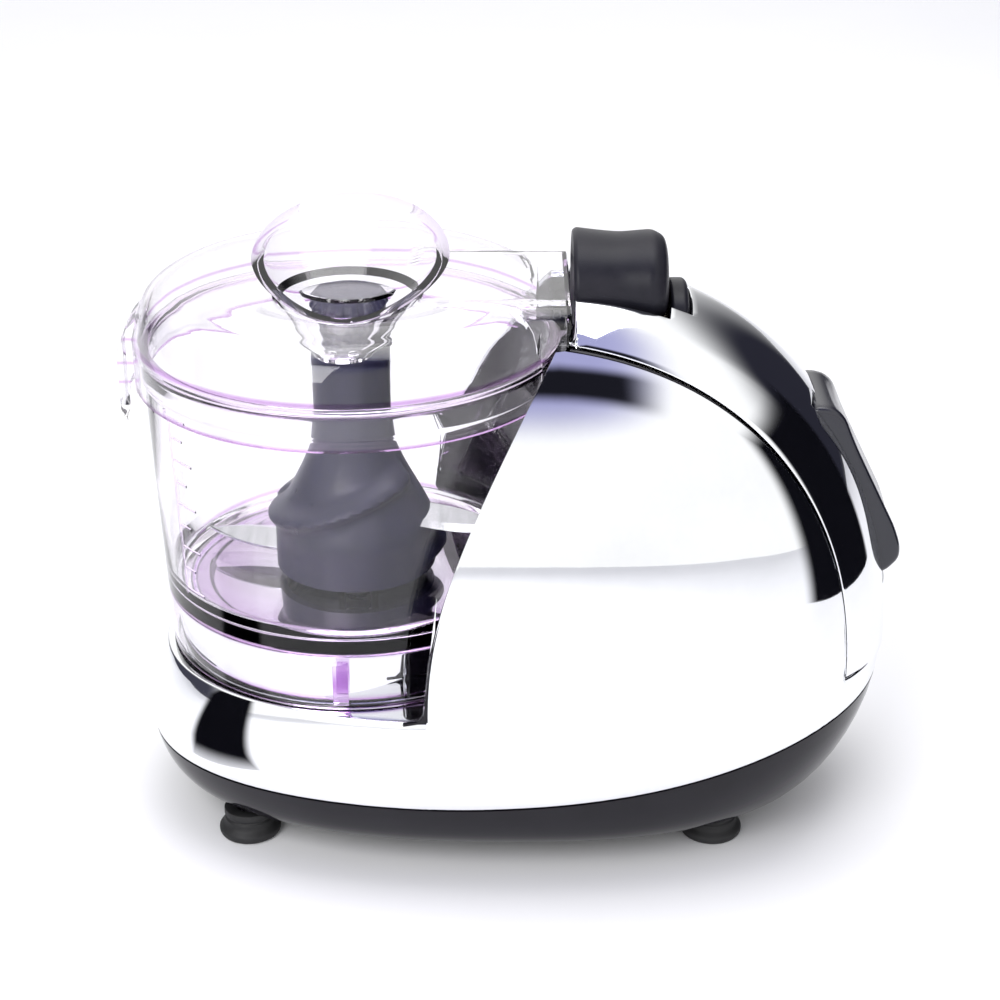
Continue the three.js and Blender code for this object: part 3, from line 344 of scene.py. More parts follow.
# ---- Plated housing ----
# The upper case is ABS plated in bright chrome: a skirt that swells below the shelf, the flat
# shelf that the bowl stands on, and two side panels that rise to the black seams of the band.
RECESS = 69.1
BAND = 32.0
BAND_FOOT_HALF = 39.0
SEAM_WIDTH = 1.6
BAND_FRONT = 66.2
SHELF_HOLE = 48.0
WALL = 2.2

chrome = finish("bright_chrome", (0.80, 0.81, 0.83), (0.90, 0.91, 0.93), (0.015, 0.05),
                metal=1.0, cloud_scale=22, grain_scale=60, bump=0.012)


def band_half(y):
    """Half the spine band's width here: it widens evenly from behind the lid to its foot."""
    return BAND + (BAND_FOOT_HALF - BAND) * (y - 65) / 98


def panel_top(turn):
    """How high the side panel climbs in this direction, up to the bowl's recess or the seam."""
    low, high = SHELF, BODY_TOP - 0.5
    for _ in range(30):
        middle = (low + high) / 2
        x, y = outline(turn, middle)
        inside = abs(x) < band_half(y) + SEAM_WIDTH or math.hypot(x, y) < RECESS
        low, high = (low, middle) if inside else (middle, high)
    return low


def edge_turns(cells):
    """Directions that are evenly spaced along the panel's upper edge, from front to rear."""
    front, rear = -0.6, 1.56
    fine = [front + (rear - front) * n / 3000 for n in range(3001)]
    kept = []
    for turn in fine:
        x, y = outline(turn, SHELF)
        if math.hypot(x, y) > RECESS and x > band_half(y) + SEAM_WIDTH:
            kept.append(turn)
    points = [Vector((*outline(turn, panel_top(turn)), panel_top(turn))) for turn in kept]
    length = [0.0]
    for n in range(1, len(points)):
        length.append(length[-1] + (points[n] - points[n - 1]).length)
    chosen = []
    n = 0
    for k in range(cells + 1):
        wanted = length[-1] * k / cells
        while n < len(length) - 1 and length[n] < wanted:
            n += 1
        chosen.append(kept[n])
    return chosen


SIDE_CELLS = 88
SIDE_ROWS = 30
FRONT_CELLS, REAR_CELLS, ARC_CELLS = 56, 24, 60
SKIRT_ROWS, DECK_ROWS = 12, 5
side_turns = edge_turns(SIDE_CELLS)
first, last = side_turns[0], side_turns[-1]
front_turns = [first + (-math.pi - 2 * first) * n / FRONT_CELLS for n in range(1, FRONT_CELLS)]
rear_turns = [last + (math.pi - 2 * last) * n / REAR_CELLS for n in range(1, REAR_CELLS)]
left_turns = [math.pi - turn for turn in reversed(side_turns)]
front_loop = [turn + 2 * math.pi for turn in reversed(front_turns)]
loop_turns = side_turns + rear_turns + left_turns + front_loop + [first + 2 * math.pi]


def skirt_place(i, j):
    turn = loop_turns[j]
    low = split(outline(turn, HIP)[1])
    z = low + (SHELF - low) * i / SKIRT_ROWS
    return (*outline(turn, z), z)


def panel_place(turns_used):
    def place(i, j):
        turn = turns_used[j]
        top = panel_top(turn)
        if j in (0, SIDE_CELLS):
            top = SHELF
        z = SHELF + (top - SHELF) * math.sin(0.5 * math.pi * i / SIDE_ROWS)
        return (*outline(turn, z), z)
    return place


def deck_place(i, j):
    turn = deck_turns[j]
    x, y = outline(turn, SHELF) if deck_front[j] else (RECESS * math.cos(turn), RECESS * math.sin(turn))
    share = i / DECK_ROWS
    r = math.hypot(x, y)
    inner = SHELF_HOLE / r
    return x * (1 - share + share * inner), y * (1 - share + share * inner), SHELF


def ease_edges(piece, width):
    """Rounds the piece's sharp edges by this many millimetres."""
    change(piece, "BEVEL", width=width * MM, segments=3, limit_method="ANGLE",
           angle_limit=math.radians(50), use_clamp_overlap=False)


corner_x, corner_y = outline(first, SHELF)
corner_angle = math.atan2(corner_y, corner_x)
arc = [corner_angle + (math.pi - 2 * corner_angle) * n / ARC_CELLS for n in range(ARC_CELLS + 1)]
deck_turns = [first] + arc[1:-1] + [math.pi - first] + front_loop + [first + 2 * math.pi]
deck_front = [True] + [False] * (ARC_CELLS - 1) + [True] + [True] * len(front_loop) + [True]

skirt = sheet("plated_housing", SKIRT_ROWS, len(loop_turns) - 1, skirt_place)
right_panel = sheet("right_panel", SIDE_ROWS, SIDE_CELLS, panel_place(side_turns))
left_panel = sheet("left_panel", SIDE_ROWS, SIDE_CELLS,
                   panel_place([math.pi - turn for turn in side_turns]))
deck = sheet("deck", DECK_ROWS, len(deck_turns) - 1, deck_place)
housing = join("plated_housing", skirt, right_panel, left_panel, deck)
knit(housing)
change(housing, "SOLIDIFY", thickness=WALL * MM, offset=-1)
ease_edges(housing, 0.55)
dress(housing, chrome, 30)
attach(housing, "base")
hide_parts("upper_housing")

# ---- Spine band ----
# One plated band runs over the crown from behind the lid down the back. Its middle stands a
# little proud of two chamfered sides, and it is cut out for the handle, the button and paddle.
CROWN_EDGE = 24.5
CROWN_RISE = 1.2
BAND_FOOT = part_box("spine_band")[0].z / MM


def dome(x, lean, lift=0.0):
    """The point of the dome at this x, seen from its middle at the angle lean above level."""
    c, s = math.cos(lean), math.sin(lean)
    low, high = 0.0, 140.0
    for _ in range(34):
        r = (low + high) / 2
        plan = (abs(x) / HALF_WIDTH) ** PLAN_POWER + (r * c / REAR_REACH) ** PLAN_POWER
        full = plan ** (DOME_POWER / PLAN_POWER) + (r * s / (BODY_TOP - SHELF)) ** DOME_POWER
        low, high = (low, r) if full > 1 else (r, high)
    return x, BODY_CENTRE + (low + lift) * c, SHELF + (low + lift) * s


def lean_where(axis, wanted):
    """The angle at which the dome's middle line reaches this y (axis 1) or height (axis 2)."""
    low, high = 0.0, math.pi / 2
    for _ in range(34):
        middle = (low + high) / 2
        point = dome(0, middle)
        past = point[1] > wanted if axis == 1 else point[2] < wanted
        low, high = (middle, high) if past else (low, middle)
    return low


def runs(marks, cells):
    """Values that pass through all the marks, with this many cells between each two."""
    values = [marks[0]]
    for start, end, count in zip(marks, marks[1:], cells):
        values += [start + (end - start) * (n + 1) / count for n in range(count)]
    return values


SLOT_TOP, SLOT_FOOT, SLOT_HALF = 135.0, 75.9, 16.6
NOTCH_HALF, NOTCH_END = 19.1, 94.1
BUTTON_HALF, BUTTON_END = 13.6, 100.4
CREST_Z, BACK_Y = 140, 120
leans = runs([lean_where(2, BAND_FOOT), lean_where(2, SLOT_FOOT), lean_where(2, SLOT_TOP),
              lean_where(1, BUTTON_END), lean_where(1, NOTCH_END), lean_where(1, BAND_FRONT)],
             [8, 40, 24, 4, 18])
columns = runs([-BAND, -CROWN_EDGE - 0.5, -CROWN_EDGE + 0.5, -NOTCH_HALF, -SLOT_HALF, -BUTTON_HALF,
                BUTTON_HALF, SLOT_HALF, NOTCH_HALF, CROWN_EDGE - 0.5, CROWN_EDGE + 0.5, BAND],
               [6, 1, 4, 2, 3, 14, 3, 2, 4, 1, 6])


def flared(x, lean):
    """A column's x on this row: the band's edges spread, and the cut-outs stay straight."""
    spread = max(0.0, (abs(x) - NOTCH_HALF) / (BAND - NOTCH_HALF))
    extra = band_half(dome(0, lean)[1]) - BAND
    return x + math.copysign(extra * spread, x)


def crown_lift(x):
    share = min(1.0, max(0.0, (BAND - 0.4 - abs(x)) / (BAND - 0.4 - CROWN_EDGE)))
    return CROWN_RISE * share


def band_place(i, j):
    x, y, z = dome(flared(columns[i], leans[j]), leans[j], crown_lift(columns[i]))
    return (x, BAND_FRONT, z) if j == len(leans) - 1 else (x, y, z)


def cut_faces(piece, doomed):
    """Deletes the faces whose middle, in millimetres about the bowl's axis, is doomed."""
    alone(piece)
    bpy.ops.object.mode_set(mode="EDIT")
    bpy.ops.mesh.select_all(action="DESELECT")
    bpy.ops.mesh.select_mode(type="FACE")
    bpy.ops.object.mode_set(mode="OBJECT")
    for face in piece.data.polygons:
        middle = (face.center - Vector((0, AXIS_Y, 0))) / MM
        face.select = doomed(*middle)
    bpy.ops.object.mode_set(mode="EDIT")
    bpy.ops.mesh.delete(type="FACE")
    bpy.ops.mesh.select_mode(type="VERT")
    bpy.ops.object.mode_set(mode="OBJECT")


def band_cut(x, y, z):
    sleeve = abs(x) < NOTCH_HALF and y < NOTCH_END - 0.1 and z > CREST_Z
    button = abs(x) < BUTTON_HALF and y < BUTTON_END - 0.1 and z > CREST_Z
    paddle = abs(x) < SLOT_HALF and SLOT_FOOT < z < SLOT_TOP and y > BACK_Y
    return sleeve or button or paddle


band = sheet("chrome_spine", len(columns) - 1, len(leans) - 1, band_place)
cut_faces(band, band_cut)
knit(band)
change(band, "SOLIDIFY", thickness=WALL * MM, offset=-1)
ease_edges(band, 0.45)
dress(band, chrome, 25)
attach(band, "base")
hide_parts("spine_band")

# ---- Seam trims ----
# A narrow gloss black edging is pressed into the seam on either side of the band.
for side, side_name in ((-1, "left"), (1, "right")):
    def trim_place(i, j):
        lean = leans[j]
        x = side * (band_half(dome(0, lean)[1]) + 0.05 + 1.5 * i / 3)
        point = dome(x, lean, -0.9 + (0.35 if i in (1, 2) else 0))
        return point if point[1] > 62 else (point[0], 62, point[2])
    trim = sheet("seam_trim_" + side_name, 3, len(leans) - 1, trim_place)
    knit(trim)
    change(trim, "SOLIDIFY", thickness=2 * MM, offset=-1)
    dress(trim, gloss_black, 40)
    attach(trim, "base")
    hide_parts("band_trim_" + side_name)

# ---- Recess wall ----
# Behind the bowl the housing is closed by a curved gloss black wall, with a flat pocket above
# it that takes the end of the lid's bridge and is open for the handle.
LINER_R = 68.7
POCKET_FLOOR = 136.8
POCKET_HALF = 31.4
POCKET_BACK = 66.5
LINER_CELLS, LINER_ROWS, POCKET_CELLS, POCKET_ROWS = 90, 20, 40, 6
HANDLE_Z = 168.5
HANDLE_ROOM = (19.9, 15.2)


def liner_place(i, j):
    angle = math.radians(14 + 152 * j / LINER_CELLS)
    x, y = LINER_R * math.cos(angle), LINER_R * math.sin(angle)
    plan = (abs(x) / HALF_WIDTH) ** PLAN_POWER + ((y - BODY_CENTRE) / REAR_REACH if y > BODY_CENTRE
                                                  else (BODY_CENTRE - y) / FRONT_REACH) ** PLAN_POWER
    skin = SHELF + (BODY_TOP - SHELF) * arch(min(1.0, plan ** (1 / PLAN_POWER)), DOME_POWER) - 3.4
    top = POCKET_FLOOR if abs(x) < POCKET_HALF else max(SHELF + 1, skin)
    return x, y, SHELF + 0.3 + (top - SHELF - 0.3) * i / LINER_ROWS


def pocket_place(i, j):
    x = -POCKET_HALF + 2 * POCKET_HALF * j / POCKET_CELLS
    if i == 0:
        return x, math.sqrt(LINER_R ** 2 - x * x), POCKET_FLOOR
    skin = dome(x, lean_where(1, POCKET_BACK))[2] - 2.6
    share = 1 - (x / HANDLE_ROOM[0]) ** 2
    top = min(skin, HANDLE_Z - HANDLE_ROOM[1] * math.sqrt(share)) if share > 0 else skin
    return x, POCKET_BACK, POCKET_FLOOR + (top - POCKET_FLOOR) * (i - 1) / POCKET_ROWS


liner = sheet("recess_wall", LINER_ROWS, LINER_CELLS, liner_place)
pocket = sheet("recess_pocket", POCKET_ROWS + 1, POCKET_CELLS, pocket_place)
wall = join("recess_wall", liner, pocket)
knit(wall, 0.01)
change(wall, "SOLIDIFY", thickness=1.2 * MM, offset=0)
dress(wall, gloss_black, 35)
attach(wall, "base")
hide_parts("recess_liner")

# ---- Turret ----
# The bowl's skirt drops over a low plated turret that carries the upper bearing. The three ramps on its side
# that catch the lugs of the bowl are left out of this turned piece.
turret_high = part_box("bowl_turret")[1]
TURRET_TOP = turret_high.z / MM
TURRET_R = turret_high.x / MM
turret_profile = [(6.8, TURRET_TOP - 3.6), (TURRET_R - 2.4, TURRET_TOP - 2.6),
                  (TURRET_R - 2.4, SHELF + 0.4), (TURRET_R, SHELF + 0.4),
                  (TURRET_R, TURRET_TOP - 1), (TURRET_R - 1, TURRET_TOP),
                  (TURRET_R - 8, TURRET_TOP), (TURRET_R - 9, TURRET_TOP - 1.2),
                  (14, TURRET_TOP - 1.2), (12, TURRET_TOP), (6.8, TURRET_TOP)]
turret = turned("chrome_turret", rounded(turret_profile, 0.8, 4, loop=True), turns=128)
dress(turret, chrome, 32)
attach(turret, "base")
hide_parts("bowl_turret")

# ---- Cord gland ----
# A ribbed rubber bellmouth at the foot of the back, where the mains lead passes out.
gland_low, gland_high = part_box("cord_gland")
GLAND_X = (gland_low.x + gland_high.x) / 2 / MM
GLAND_Z = (gland_low.z + gland_high.z) / 2 / MM
GLAND_START = (gland_low.y - AXIS_Y) / MM
GLAND_END = (gland_high.y - AXIS_Y) / MM


def turned_level(name, profile, centre, turns=72, wide=1.0):
    """A piece turned about a level axis that runs along Y, from radii and places along it."""
    def place(i, j):
        angle = 2 * math.pi * j / turns
        r, y = profile[i]
        return centre[0] + wide * r * math.cos(angle), y, centre[1] + r * math.sin(angle)
    piece = sheet(name, len(profile) - 1, turns, place)
    knit(piece)
    return piece


gland_profile = [(3.9, GLAND_START), (7.9, GLAND_START), (7.9, GLAND_START + 2.4), (5.9, GLAND_START + 2.6),
                 (5.9, GLAND_END - 4.4), (5.4, GLAND_END - 4.2), (5.4, GLAND_END - 3.4),
                 (5.9, GLAND_END - 3.2), (5.9, GLAND_END - 0.6), (5.2, GLAND_END), (4.5, GLAND_END),
                 (3.9, GLAND_END - 0.9)]
gland = turned_level("cord_bellmouth", rounded(gland_profile, 0.4, 3, loop=True), (GLAND_X, GLAND_Z))
dress(gland, rubber, 32)
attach(gland, "base")
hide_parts("cord_gland")

# ---- Bowl ----
# Clear moulded bowl with a faint violet cast. A deeper violet is painted shade at its steps and where its
# wall is seen at a grazing angle, standing in for light that runs through the wall end on.
# It has a skirt over the turret, a thick floor, a central tube and a stepped rim. It lifts straight off.
BOWL_FOOT = bowl_low.z / MM
BOWL_RIM = bowl_high.z / MM
FOOT_R, RIM_R = 57.6, 62.0
FLOOR = 75.3

# A mask for painted shade: 1 near a height measured along a direction, fading out towards the bowl's axis,
# where the edge colour is painted on.
painted_edges, painted_edges_in, painted_edges_out = effect(
    "painted_edge_band",
    [("Place", "NodeSocketVector", None), ("Along", "NodeSocketVector", (0.0, 0.0, 1.0)),
     ("Level", "NodeSocketFloat", 0.1), ("Spread", "NodeSocketFloat", 0.002)],
    [("Mask", "NodeSocketFloat")],
)
from_axis = node(painted_edges, "VectorMath", "MULTIPLY_ADD")
from_axis.inputs[1].default_value = (1, 1, 0)
from_axis.inputs[2].default_value = (0, -AXIS_Y, 0)
radius = node(painted_edges, "VectorMath", "LENGTH")
near_wall = node(painted_edges, "MapRange", From_Min=0.020, From_Max=0.052)
both_ways = node(painted_edges, "Math", "MULTIPLY")
along_it = node(painted_edges, "VectorMath", "DOT_PRODUCT")
away = node(painted_edges, "Math", "SUBTRACT")
either = node(painted_edges, "Math", "ABSOLUTE")
share_of = node(painted_edges, "Math", "DIVIDE")
fall = node(painted_edges, "MapRange", To_Min=1, To_Max=0)
fall.interpolation_type = "SMOOTHSTEP"
wire(painted_edges,
     (painted_edges_in, "Place", along_it, 0), (painted_edges_in, "Along", along_it, 1),
     (along_it, "Value", away, 0), (painted_edges_in, "Level", away, 1), (away, "Value", either, 0),
     (either, "Value", share_of, 0), (painted_edges_in, "Spread", share_of, 1),
     (share_of, "Value", fall, "Value"), (painted_edges_in, "Place", from_axis, 0),
     (from_axis, "Vector", radius, 0), (radius, "Value", near_wall, "Value"),
     (fall, "Result", both_ways, 0), (near_wall, "Result", both_ways, 1),
     (both_ways, "Value", painted_edges_out, "Mask"))


def blend(tree, mask, base, colour):
    """Base, an output or a plain colour, turned to this colour where the mask is 1."""
    mixed = tree.nodes.new("ShaderNodeMix")
    mixed.data_type = "RGBA"
    mixed.inputs["B"].default_value = (*colour, 1)
    tree.links.new(mask, mixed.inputs["Factor"])
    if isinstance(base, tuple):
        mixed.inputs["A"].default_value = (*base, 1)
    else:
        tree.links.new(base, mixed.inputs["A"])
    return mixed.outputs["Result"]


def clear_plastic(name, body, edge, levels, lean=(0.0, 0.0, 1.0), rough=(0.0, 0.03)):
    """Clear plastic with painted shade: its tint deepens to the edge colour near these heights and at
    grazing angles. It lets its shadow be light.
    """
    made = finish(name, body, tuple(min(1.0, c * 1.02) for c in body), rough, cloud_scale=18,
                  grain_scale=260, bump=0.006)
    tree = made.node_tree
    shader = tree.nodes["Principled BSDF"]
    shader.inputs["Transmission Weight"].default_value = 1.0
    shader.inputs["IOR"].default_value = 1.40
    where = next(n for n in tree.nodes if n.type == "TEX_COORD")
    tint = shader.inputs["Base Color"].links[0].from_socket
    # Painted shade: stripes of the edge colour at these heights.
    for level, spread in levels:
        painted_edge_mask = tree.nodes.new("ShaderNodeGroup")
        painted_edge_mask.node_tree = painted_edges
        painted_edge_mask.inputs["Along"].default_value = lean
        painted_edge_mask.inputs["Level"].default_value = level * MM
        painted_edge_mask.inputs["Spread"].default_value = spread * MM
        wire(tree, (where, "Object", painted_edge_mask, "Place"))
        tint = blend(tree, painted_edge_mask.outputs["Mask"], tint, edge)
    # Painted shade: the edge colour also takes over where the surface is seen at a grazing angle.
    grazing = node(tree, "LayerWeight", Blend=0.5)
    depth = node(tree, "MapRange", From_Min=0.72, To_Max=0.75)
    tint = blend(tree, depth.outputs["Result"], tint, edge)
    tree.links.new(tint, shader.inputs["Base Color"])
    light = node(tree, "LightPath")
    through = node(tree, "BsdfTransparent", Color=(0.94, 0.93, 0.96, 1))
    both = node(tree, "MixShader")
    wire(tree,
         (grazing, "Facing", depth, "Value"), (light, "Is Shadow Ray", both, "Fac"),
         (shader, "BSDF", both, 1), (through, "BSDF", both, 2),
         (both, "Shader", tree.nodes["Material Output"], "Surface"))
    return made


CLEAR = (0.975, 0.965, 0.985)
PAINTED_EDGE_VIOLET = (0.56, 0.28, 0.68)
# The bowl's painted shade: deeper violet at its foot, over its floor, at its rim and at grazing angles.
bowl_clear = clear_plastic("clear_bowl", CLEAR, PAINTED_EDGE_VIOLET,
                           [(BOWL_FOOT, 1.6), (FLOOR - 1.2, 2.2), (BOWL_RIM, 1.3)])


def wall_r(z):
    return FOOT_R + (RIM_R - FOOT_R) * (z - SHELF) / (BOWL_RIM - SHELF)


bowl_profile = [
    (4.6, FLOOR - 2.4), (wall_r(73) - 2.2, FLOOR - 2.4), (wall_r(57) - 2.2, BOWL_FOOT + 1.5),
    (wall_r(57) - 1.8, BOWL_FOOT), (wall_r(56) - 0.1, BOWL_FOOT), (wall_r(58), BOWL_FOOT + 2.6),
    (wall_r(72), 72), (wall_r(76), FLOOR + 0.7), (wall_r(110), 110), (RIM_R - 0.6, BOWL_RIM - 7),
    (RIM_R, BOWL_RIM - 6), (RIM_R, BOWL_RIM), (RIM_R - 2.0, BOWL_RIM), (wall_r(110) - 2.0, 110),
    (wall_r(82) - 2.0, FLOOR + 7), (wall_r(76) - 4.2, FLOOR + 1.6), (wall_r(75) - 8, FLOOR),
    (6.8, FLOOR), (6.8, 109.3), (4.6, 109.3),
]
bowl = turned("clear_bowl", rounded(bowl_profile, 1.2, 4, loop=True), turns=144)
dress(bowl, bowl_clear, 40)
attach(bowl, "bowl")
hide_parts("bowl_shell")

# Lugs that lock under the turret's ramps, and a plain measuring scale, stand on the wall.
# Painted shade: the details turn deeper violet around the lugs' height and at grazing angles.
detail_clear = clear_plastic("clear_details", (0.88, 0.78, 0.93), PAINTED_EDGE_VIOLET, [(64, 7)])


def fill_ends(piece):
    """Closes a swept piece: merges the seam along it, then fills its two open ends."""
    alone(piece)
    bpy.ops.object.mode_set(mode="EDIT")
    bpy.ops.mesh.select_all(action="SELECT")
    bpy.ops.mesh.remove_doubles(threshold=0.01 * MM)
    bpy.ops.mesh.select_all(action="DESELECT")
    bpy.ops.mesh.select_non_manifold()
    bpy.ops.mesh.edge_face_add()
    bpy.ops.object.mode_set(mode="OBJECT")
    knit(piece, 0.001)


BLOCK_CELLS = 8


def block(name, corners, width_angle, turns_at):
    """A small raised bar on a turned wall: corners are radii and heights, swept by an angle."""
    def place(i, j):
        r, z = corners[i]
        angle = turns_at + width_angle * (j / BLOCK_CELLS - 0.5)
        return r * math.cos(angle), r * math.sin(angle), z
    piece = sheet(name, len(corners) - 1, BLOCK_CELLS, place)
    fill_ends(piece)
    return piece


def loop_of(points):
    return points + [points[0]]


lugs = []
for number in range(3):
    turn = math.radians(-1.5 + 120 * number)
    r = wall_r(64)
    corners = rounded([(r + 0.12, 57), (r + 1.2, 57.6), (r + 1.4, 70.5), (r + 0.3, 72)], 0.5, 3, loop=True)
    lugs.append(block("lug", corners, 4.4 / r, turn))
for number in range(9):
    z = 84 + 7 * number
    r = wall_r(z)
    half = 0.085 if number % 2 else 0.14
    lugs.append(block("tick", loop_of([(r + 0.1, z - 0.4), (r + 0.5, z - 0.25), (r + 0.5, z + 0.25),
                                       (r + 0.1, z + 0.4)]), half, math.radians(-53) + half / 2))
rib = loop_of([(wall_r(82) + 0.1, 82), (wall_r(82) + 0.5, 82), (wall_r(142) + 0.5, 142),
               (wall_r(142) + 0.1, 142)])
lugs.append(block("scale_rib", rib, 0.7 / 60, math.radians(-53.8)))
details = join("bowl_details", *lugs)
dress(details, detail_clear, 40)
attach(details, "bowl")

# ---- Blade hub ----
# The slate-grey nylon hub slips over the bowl's tube. Two rounded guards wind round its flared
# skirt above the blades, and a fluted cap closes its column.
hub_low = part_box("blade_hub")[0]
cap_low, cap_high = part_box("hub_grip_cap")
HUB_FOOT = hub_low.z / MM
COLLAR = cap_low.z / MM - 0.3
CAP_TOP = cap_high.z / MM
HUB_SKIRT = 24.6
HUB_COLUMN = 11.7

slate = finish("slate_nylon", (0.010, 0.010, 0.026), (0.024, 0.023, 0.050), (0.26, 0.38),
               cloud_scale=60, grain_scale=1800, bump=0.06, level=0.32)

outer_rows = 64
hub_profile = []
for k in range(outer_rows + 1):
    z = HUB_FOOT + (COLLAR - HUB_FOOT) * (k / outer_rows)
    t = min(1.0, max(0.0, (z - HUB_FOOT - 13) / 33))
    ease = t * t * (3 - 2 * t)
    hub_profile.append((HUB_SKIRT - (HUB_SKIRT - HUB_COLUMN) * ease ** 0.7, z))
hub_profile += [(9.1, COLLAR), (9.1, CAP_TOP - 3), (3.6, CAP_TOP - 3), (3.6, 111), (7.4, 110.3),
                (7.4, HUB_FOOT + 24), (HUB_SKIRT - 2.4, HUB_FOOT + 12), (HUB_SKIRT - 2.4, HUB_FOOT)]
hub_profile.append(hub_profile[0])


GUARD_RISE, GUARD_SIZE, GUARD_WIDTH = 15, 4.6, 2.6
GUARD_SWEEP = math.radians(195)


def guards(i, r, z, angle):
    """Two guards that climb half way round the hub from one blade towards the other."""
    if i > outer_rows or z > 118:
        return r, z
    for start, base in ((math.radians(75), 107.0), (math.radians(255), 96.0)):
        travel = (start - angle) % (2 * math.pi)
        share = travel / GUARD_SWEEP
        if share < 1:
            level = base - GUARD_RISE * share + 1.6 * math.sin(share * 7)
            size = GUARD_SIZE * math.sin(math.pi * min(1, share * 1.02)) ** 0.35 if 0 < share < 0.98 else 0
            r += size * math.exp(-((z - level) / GUARD_WIDTH) ** 2)
    return r, z


hub = turned("blade_column", hub_profile, turns=120, wobble=guards)
dress(hub, slate, 50)
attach(hub, "blade")
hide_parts("blade_hub")

cap_profile = rounded([(9.5, COLLAR + 0.4), (12.1, COLLAR + 0.4), (12.1, COLLAR + 2.4), (11.0, COLLAR + 2.8),
                       (11.9, COLLAR + 3.4), (11.9, CAP_TOP - 2.6), (9.6, CAP_TOP), (0, CAP_TOP)], 0.5, 3)
FLUTES = 16


def fluted(i, r, z, angle):
    if r < 9.6 or z > CAP_TOP - 0.6:
        return r, z
    teeth = z < COLLAR + 2.5
    wave = math.cos(angle * (FLUTES * 2 if teeth else FLUTES))
    depth = 0.35 if teeth else 0.75
    return r - depth * (0.5 + 0.5 * max(-1.0, min(1.0, wave * 2.2))), z


cap = turned("fluted_cap", cap_profile, turns=256, wobble=fluted)
dress(cap, slate, 45)
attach(cap, "blade")
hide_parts("hub_grip_cap")

# ---- Blades ----
# Two stamped stainless blades, one low and one higher on the other side, each swept back to a
# point and ground to a bevel along its leading edge.
blade_steel = finish("ground_steel", (0.52, 0.53, 0.55), (0.70, 0.71, 0.73), (0.10, 0.26), metal=1.0,
                     cloud_scale=14, grain_scale=500, bump=0.05, stretch=(1, 14, 1))
BLADE_ROOT = HUB_SKIRT - 5
BLADE_REACH = 49.1
BLADE_CELLS = 28
for blade_name, turn_degrees in (("blade_lower", 258), ("blade_upper", 78)):
    low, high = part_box(blade_name)
    z0, z1 = low.z / MM, high.z / MM
    turn = math.radians(turn_degrees)

    def blade_place(i, j):
        t = i / BLADE_CELLS
        x = BLADE_ROOT + (BLADE_REACH - BLADE_ROOT) * t
        lead = -7 - 3 * math.sin(math.pi * t) + 2.6 * t
        trail = 7 - 10 * t * t
        ground = min(3.2, 0.7 * (trail - lead))
        section = [(lead, z0 + 0.15), (lead + ground, z1), (trail - 0.3, z1), (trail, z1 - 0.3),
                   (trail, z0 + 0.3), (trail - 0.3, z0), (lead + 0.6, z0), (lead, z0 + 0.15)]
        y, z = section[j]
        return (x * math.cos(turn) - y * math.sin(turn), x * math.sin(turn) + y * math.cos(turn), z)

    steel_blade = sheet(blade_name.replace("blade", "edge"), BLADE_CELLS, 7, blade_place)
    fill_ends(steel_blade)
    dress(steel_blade, blade_steel, 12)
    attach(steel_blade, "blade")
    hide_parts(blade_name)

# ---- Lid ----
# The clear domed lid has a skirt round the bowl's rim, a flat-topped bridge that runs back to
# the handle, a thumb tongue at the front, and an oval hole for the funnel.
LID_FOOT = bowl_high.z / MM - 9.5
LID_R = 64.1
LID_TOP = 168.8
LID_WALL = 1.7
SHOULDER = LID_FOOT + 13.5
BRIDGE_HALF = 30.0
BRIDGE_END = 65.0
BRIDGE_START = 56.6
BRIDGE_FLAT, BRIDGE_SHOULDER = 21, 28
BRIDGE_SAG, BRIDGE_DROP = 2.6, 4.4
dome_profile = rounded([(LID_R, LID_FOOT), (LID_R, SHOULDER), (LID_R - 1.4, SHOULDER + 6),
                        (LID_R - 4.4, LID_TOP - 3.8), (LID_R - 9.5, LID_TOP - 0.9), (LID_R - 17, LID_TOP),
                        (0, LID_TOP)], 5, 6)
LID_TURNS = 360
WALL_ROWS, DOME_ROWS = 6, 44


def lid_edge(angle):
    """How far the lid reaches in this direction: a circle with a squared end for the bridge."""
    c, s = math.cos(angle), math.sin(angle)
    if s > 0 and abs(c) * BRIDGE_END < s * BRIDGE_HALF:
        return BRIDGE_END / s
    if s > 0 and abs(c) > 1e-6 and BRIDGE_HALF / abs(c) * s > BRIDGE_START and BRIDGE_HALF / abs(c) > LID_R:
        return BRIDGE_HALF / abs(c)
    return LID_R


def dome_height(r):
    """Height of the lid's round top at this radius."""
    for (r0, z0), (r1, z1) in zip(dome_profile, dome_profile[1:]):
        if r1 <= r <= r0 and r0 > r1 and z0 >= SHOULDER - 3:
            return z0 + (z1 - z0) * (r0 - r) / (r0 - r1)
    return SHOULDER


def bridge_height(x, y):
    """Height of the bridge's top here, or 0 away from it."""
    side = abs(x)
    if side > BRIDGE_HALF + 0.01 or y < 20:
        return 0.0
    if side < BRIDGE_FLAT:
        return LID_TOP
    if side < BRIDGE_SHOULDER:
        return LID_TOP - BRIDGE_SAG * ((side - BRIDGE_FLAT) / (BRIDGE_SHOULDER - BRIDGE_FLAT)) ** 2
    past = (side - BRIDGE_SHOULDER) / (BRIDGE_HALF - BRIDGE_SHOULDER)
    return LID_TOP - BRIDGE_SAG - BRIDGE_DROP * past ** 1.5


def lid_height(x, y):
    """The higher of dome and bridge, blended softly where they meet."""
    a, b = dome_height(math.hypot(x, y)), bridge_height(x, y)
    if b <= 0:
        return a
    soft = 1.2
    h = max(0.0, min(1.0, 0.5 + 0.5 * (a - b) / soft))
    return b + (a - b) * h + soft * h * (1 - h) * 0.5


